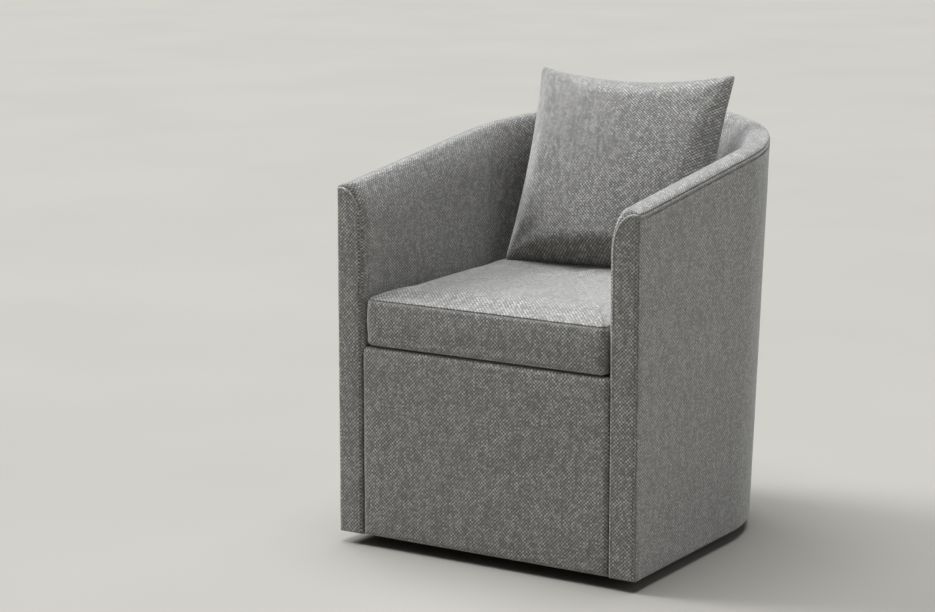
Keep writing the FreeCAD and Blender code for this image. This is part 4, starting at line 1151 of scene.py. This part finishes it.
def wood_material(name, dark, light, layered):
    """Bare timber: long grain, or for plywood a face veneer with its layers on the edges."""
    graph = Graph(name)
    place = graph.object_place()
    bend = graph.noise(graph.scaled(place, (3.0, 3.0, 3.0)), 2.0, 2.0)
    x, y, z = graph.split(place)
    wide_x = graph.math("MULTIPLY", x, 9.0)
    wide_y = graph.math("MULTIPLY", y, 9.0)
    grain = graph.noise(graph.join(wide_x, wide_y, graph.blend((bend, 4.0), (z, 160.0))), 1.0, 4.0, 0.6)
    pores = graph.noise(graph.scaled(place, (60.0, 60.0, 1400.0)), 1.0, 2.0)
    mixed = graph.blend((grain, 0.65), (pores, 0.35))
    if layered:
        layer = graph.math("FRACT", graph.math("MULTIPLY", graph.math("ADD", x, y), 500.0))
        mixed = graph.math("MULTIPLY_ADD", graph.math("GREATER_THAN", layer, 0.5), 0.10, mixed)
    graph.colour(mixed, (0.3, dark), (0.75, light))
    graph.plug(graph.shader.inputs["Roughness"], graph.math("MULTIPLY_ADD", pores, 0.25, 0.55))
    graph.bump(mixed, 0.35, 0.0004)
    return graph.material


def metal_material(name, dark, light, rough, scratch, metallic=1.0):
    """Metal with fine scratches, handling smears and a slight unevenness of finish."""
    graph = Graph(name)
    place = graph.object_place()
    smear = graph.noise(place, 18.0, 4.0)
    line = graph.noise(graph.scaled(place, (90.0, 1300.0, 90.0)), 1.0, 2.0)
    mixed = graph.blend((smear, 0.6), (line, 0.4))
    graph.colour(mixed, (0.3, dark), (0.7, light))
    graph.set(Metallic=metallic)
    graph.plug(graph.shader.inputs["Roughness"], graph.math("MULTIPLY_ADD", mixed, scratch, rough))
    graph.bump(line, 0.12, 0.0002)
    return graph.material


def plastic_material(name, dark, light, rough):
    """Moulded nylon with a fine spark-eroded grain and scuffs."""
    graph = Graph(name)
    place = graph.object_place()
    grain = graph.noise(place, 1500.0, 2.0)
    scuff = graph.noise(graph.scaled(place, (30.0, 30.0, 160.0)), 1.0, 4.0, 0.7)
    graph.colour(scuff, (0.35, dark), (0.75, light))
    graph.plug(graph.shader.inputs["Roughness"], graph.math("MULTIPLY_ADD", scuff, 0.25, rough))
    graph.bump(grain, 0.25, 0.00025)
    return graph.material


def all_materials():
    """A material for every material slot of the CAD."""
    kinds = {
        "felt": (cloth_material, grey(0.20, 0.04), grey(0.42, 0.04), FELT_PITCH),
        "dust_cloth": (cloth_material, grey(0.018), grey(0.05), DUST_PITCH),
        "foam": (foam_material, (0.55, 0.46, 0.28), (0.86, 0.78, 0.56), 900.0),
        "wadding": (foam_material, (0.70, 0.70, 0.68), (0.92, 0.92, 0.90), 500.0),
        "plywood": (wood_material, (0.42, 0.27, 0.14), (0.72, 0.54, 0.34), True),
        "hardwood": (wood_material, (0.34, 0.20, 0.10), (0.62, 0.43, 0.25), False),
        "spring_steel": (metal_material, grey(0.16), grey(0.36), 0.30, 0.3),
        "zinc_steel": (metal_material, grey(0.48), (0.70, 0.71, 0.72), 0.28, 0.25),
        "ball_steel": (metal_material, grey(0.70), grey(0.80), 0.06, 0.06),
        "brass": (metal_material, (0.55, 0.38, 0.15), (0.78, 0.60, 0.30), 0.25, 0.3),
        "black_steel": (metal_material, grey(0.020), grey(0.05), 0.38, 0.25, 0.0),
        "cast_aluminium": (metal_material, grey(0.50), grey(0.68), 0.36, 0.3),
        "black_nylon": (plastic_material, grey(0.018), grey(0.045), 0.45),
        "grey_nylon": (plastic_material, grey(0.060), grey(0.12), 0.40),
    }
    made = {"tweed": tweed_material()}
    for name, (make, *looks) in kinds.items():
        made[name] = make(name, *looks)
    return made


def dress(piece, material):
    """Give a piece its material."""
    piece.data.materials.clear()
    piece.data.materials.append(material)


def dress_nodes(materials):
    """Give every CAD node the procedural material of its slot."""
    for row in frame["record"]["subparts"]:
        node = frame["nodes"][row["node"]]
        if not node.material_slots:
            node.data.materials.append(None)
        for place in node.material_slots:
            place.link = "OBJECT"
            place.material = materials[row["material_slot"]]


# ---- The pieces, and what they stand for ----

def install(piece, body, materials, slot, nodes=()):
    """Dress a piece, fix it to its body, and hide the CAD nodes that it replaces."""
    dress(piece, materials[slot])
    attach(piece, body)
    if nodes:
        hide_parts(*nodes)


def make_pieces(materials):
    def on_body(piece, nodes=(), slot="tweed"):
        install(piece, "chair_body", materials, slot, nodes)

    on_body(make_outside_fabric(), ["outside_cover"])
    on_body(make_inside_pad(), ["inside_cover", "arm_back_foam"])
    for name, side in (("left", -1), ("right", 1)):
        on_body(make_facing("facing_" + name, side), ["arm_facing_" + name])
        on_body(stitch_row("facing_stitches_" + name, [facing_line(side, STITCH_AWAY)]))
    on_body(make_front_panel(), ["front_cover", "front_padding"])
    on_body(make_crest_stitches())
    on_body(make_deck_cloth(), ["deck_pad"], "felt")
    on_body(make_underside_cloth(), ["dust_cover"], slot="dust_cloth")
    install(make_seat_pad(), "seat_cushion", materials, "tweed",
            ["seat_cushion_core", "seat_cushion_cover"])
    install(make_pillow(), "back_pillow", materials, "tweed", ["pillow_insert", "pillow_cover"])


# ---- Studio ----

def make_floor():
    graph = Graph("floor")
    place = graph.object_place()
    cloud = graph.noise(place, 1.2, 2.0)
    graph.colour(cloud, (0.3, (0.310, 0.298, 0.272)), (0.7, (0.326, 0.313, 0.286)))
    graph.set(Roughness=0.9)
    corners = [(x * FLOOR_HALF, y * FLOOR_HALF, 0) for x, y in ((-1, -1), (1, -1), (1, 1), (-1, 1))]
    floor = mesh_from("floor", corners, [(0, 1, 2, 3)])
    floor.data.materials.append(graph.material)


def add_sun(name, strength, softness, towards):
    """A soft sun that shines along a direction."""
    lamp = bpy.data.lights.new(name, "SUN")
    lamp.energy = strength
    lamp.angle = math.radians(softness)
    lamp.color = SUN_COLOUR
    add_object(name, lamp).rotation_euler = Vector(towards).to_track_quat("-Z", "Y").to_euler()


def make_lights():
    world = bpy.data.worlds.new("studio")
    world.use_nodes = True
    background = world.node_tree.nodes["Background"]
    background.inputs["Color"].default_value = WORLD_COLOUR
    background.inputs["Strength"].default_value = WORLD_STRENGTH
    bpy.context.scene.world = world
    for sun in SUNS:
        add_sun(*sun)


def make_camera():
    lens = bpy.data.cameras.new("camera")
    lens.lens = CAMERA_LENS
    lens.sensor_width = CAMERA_SENSOR
    camera = add_object("camera", lens)
    camera.location = CAMERA_PLACE
    camera.rotation_euler = (CAMERA_AIM - CAMERA_PLACE).to_track_quat("-Z", "Y").to_euler()
    bpy.context.scene.camera = camera


bpy.context.scene.view_settings.view_transform = "Standard"
make_camera()
slots = all_materials()
dress_nodes(slots)
make_pieces(slots)
make_floor()
make_lights()
bpy.context.view_layer.update()
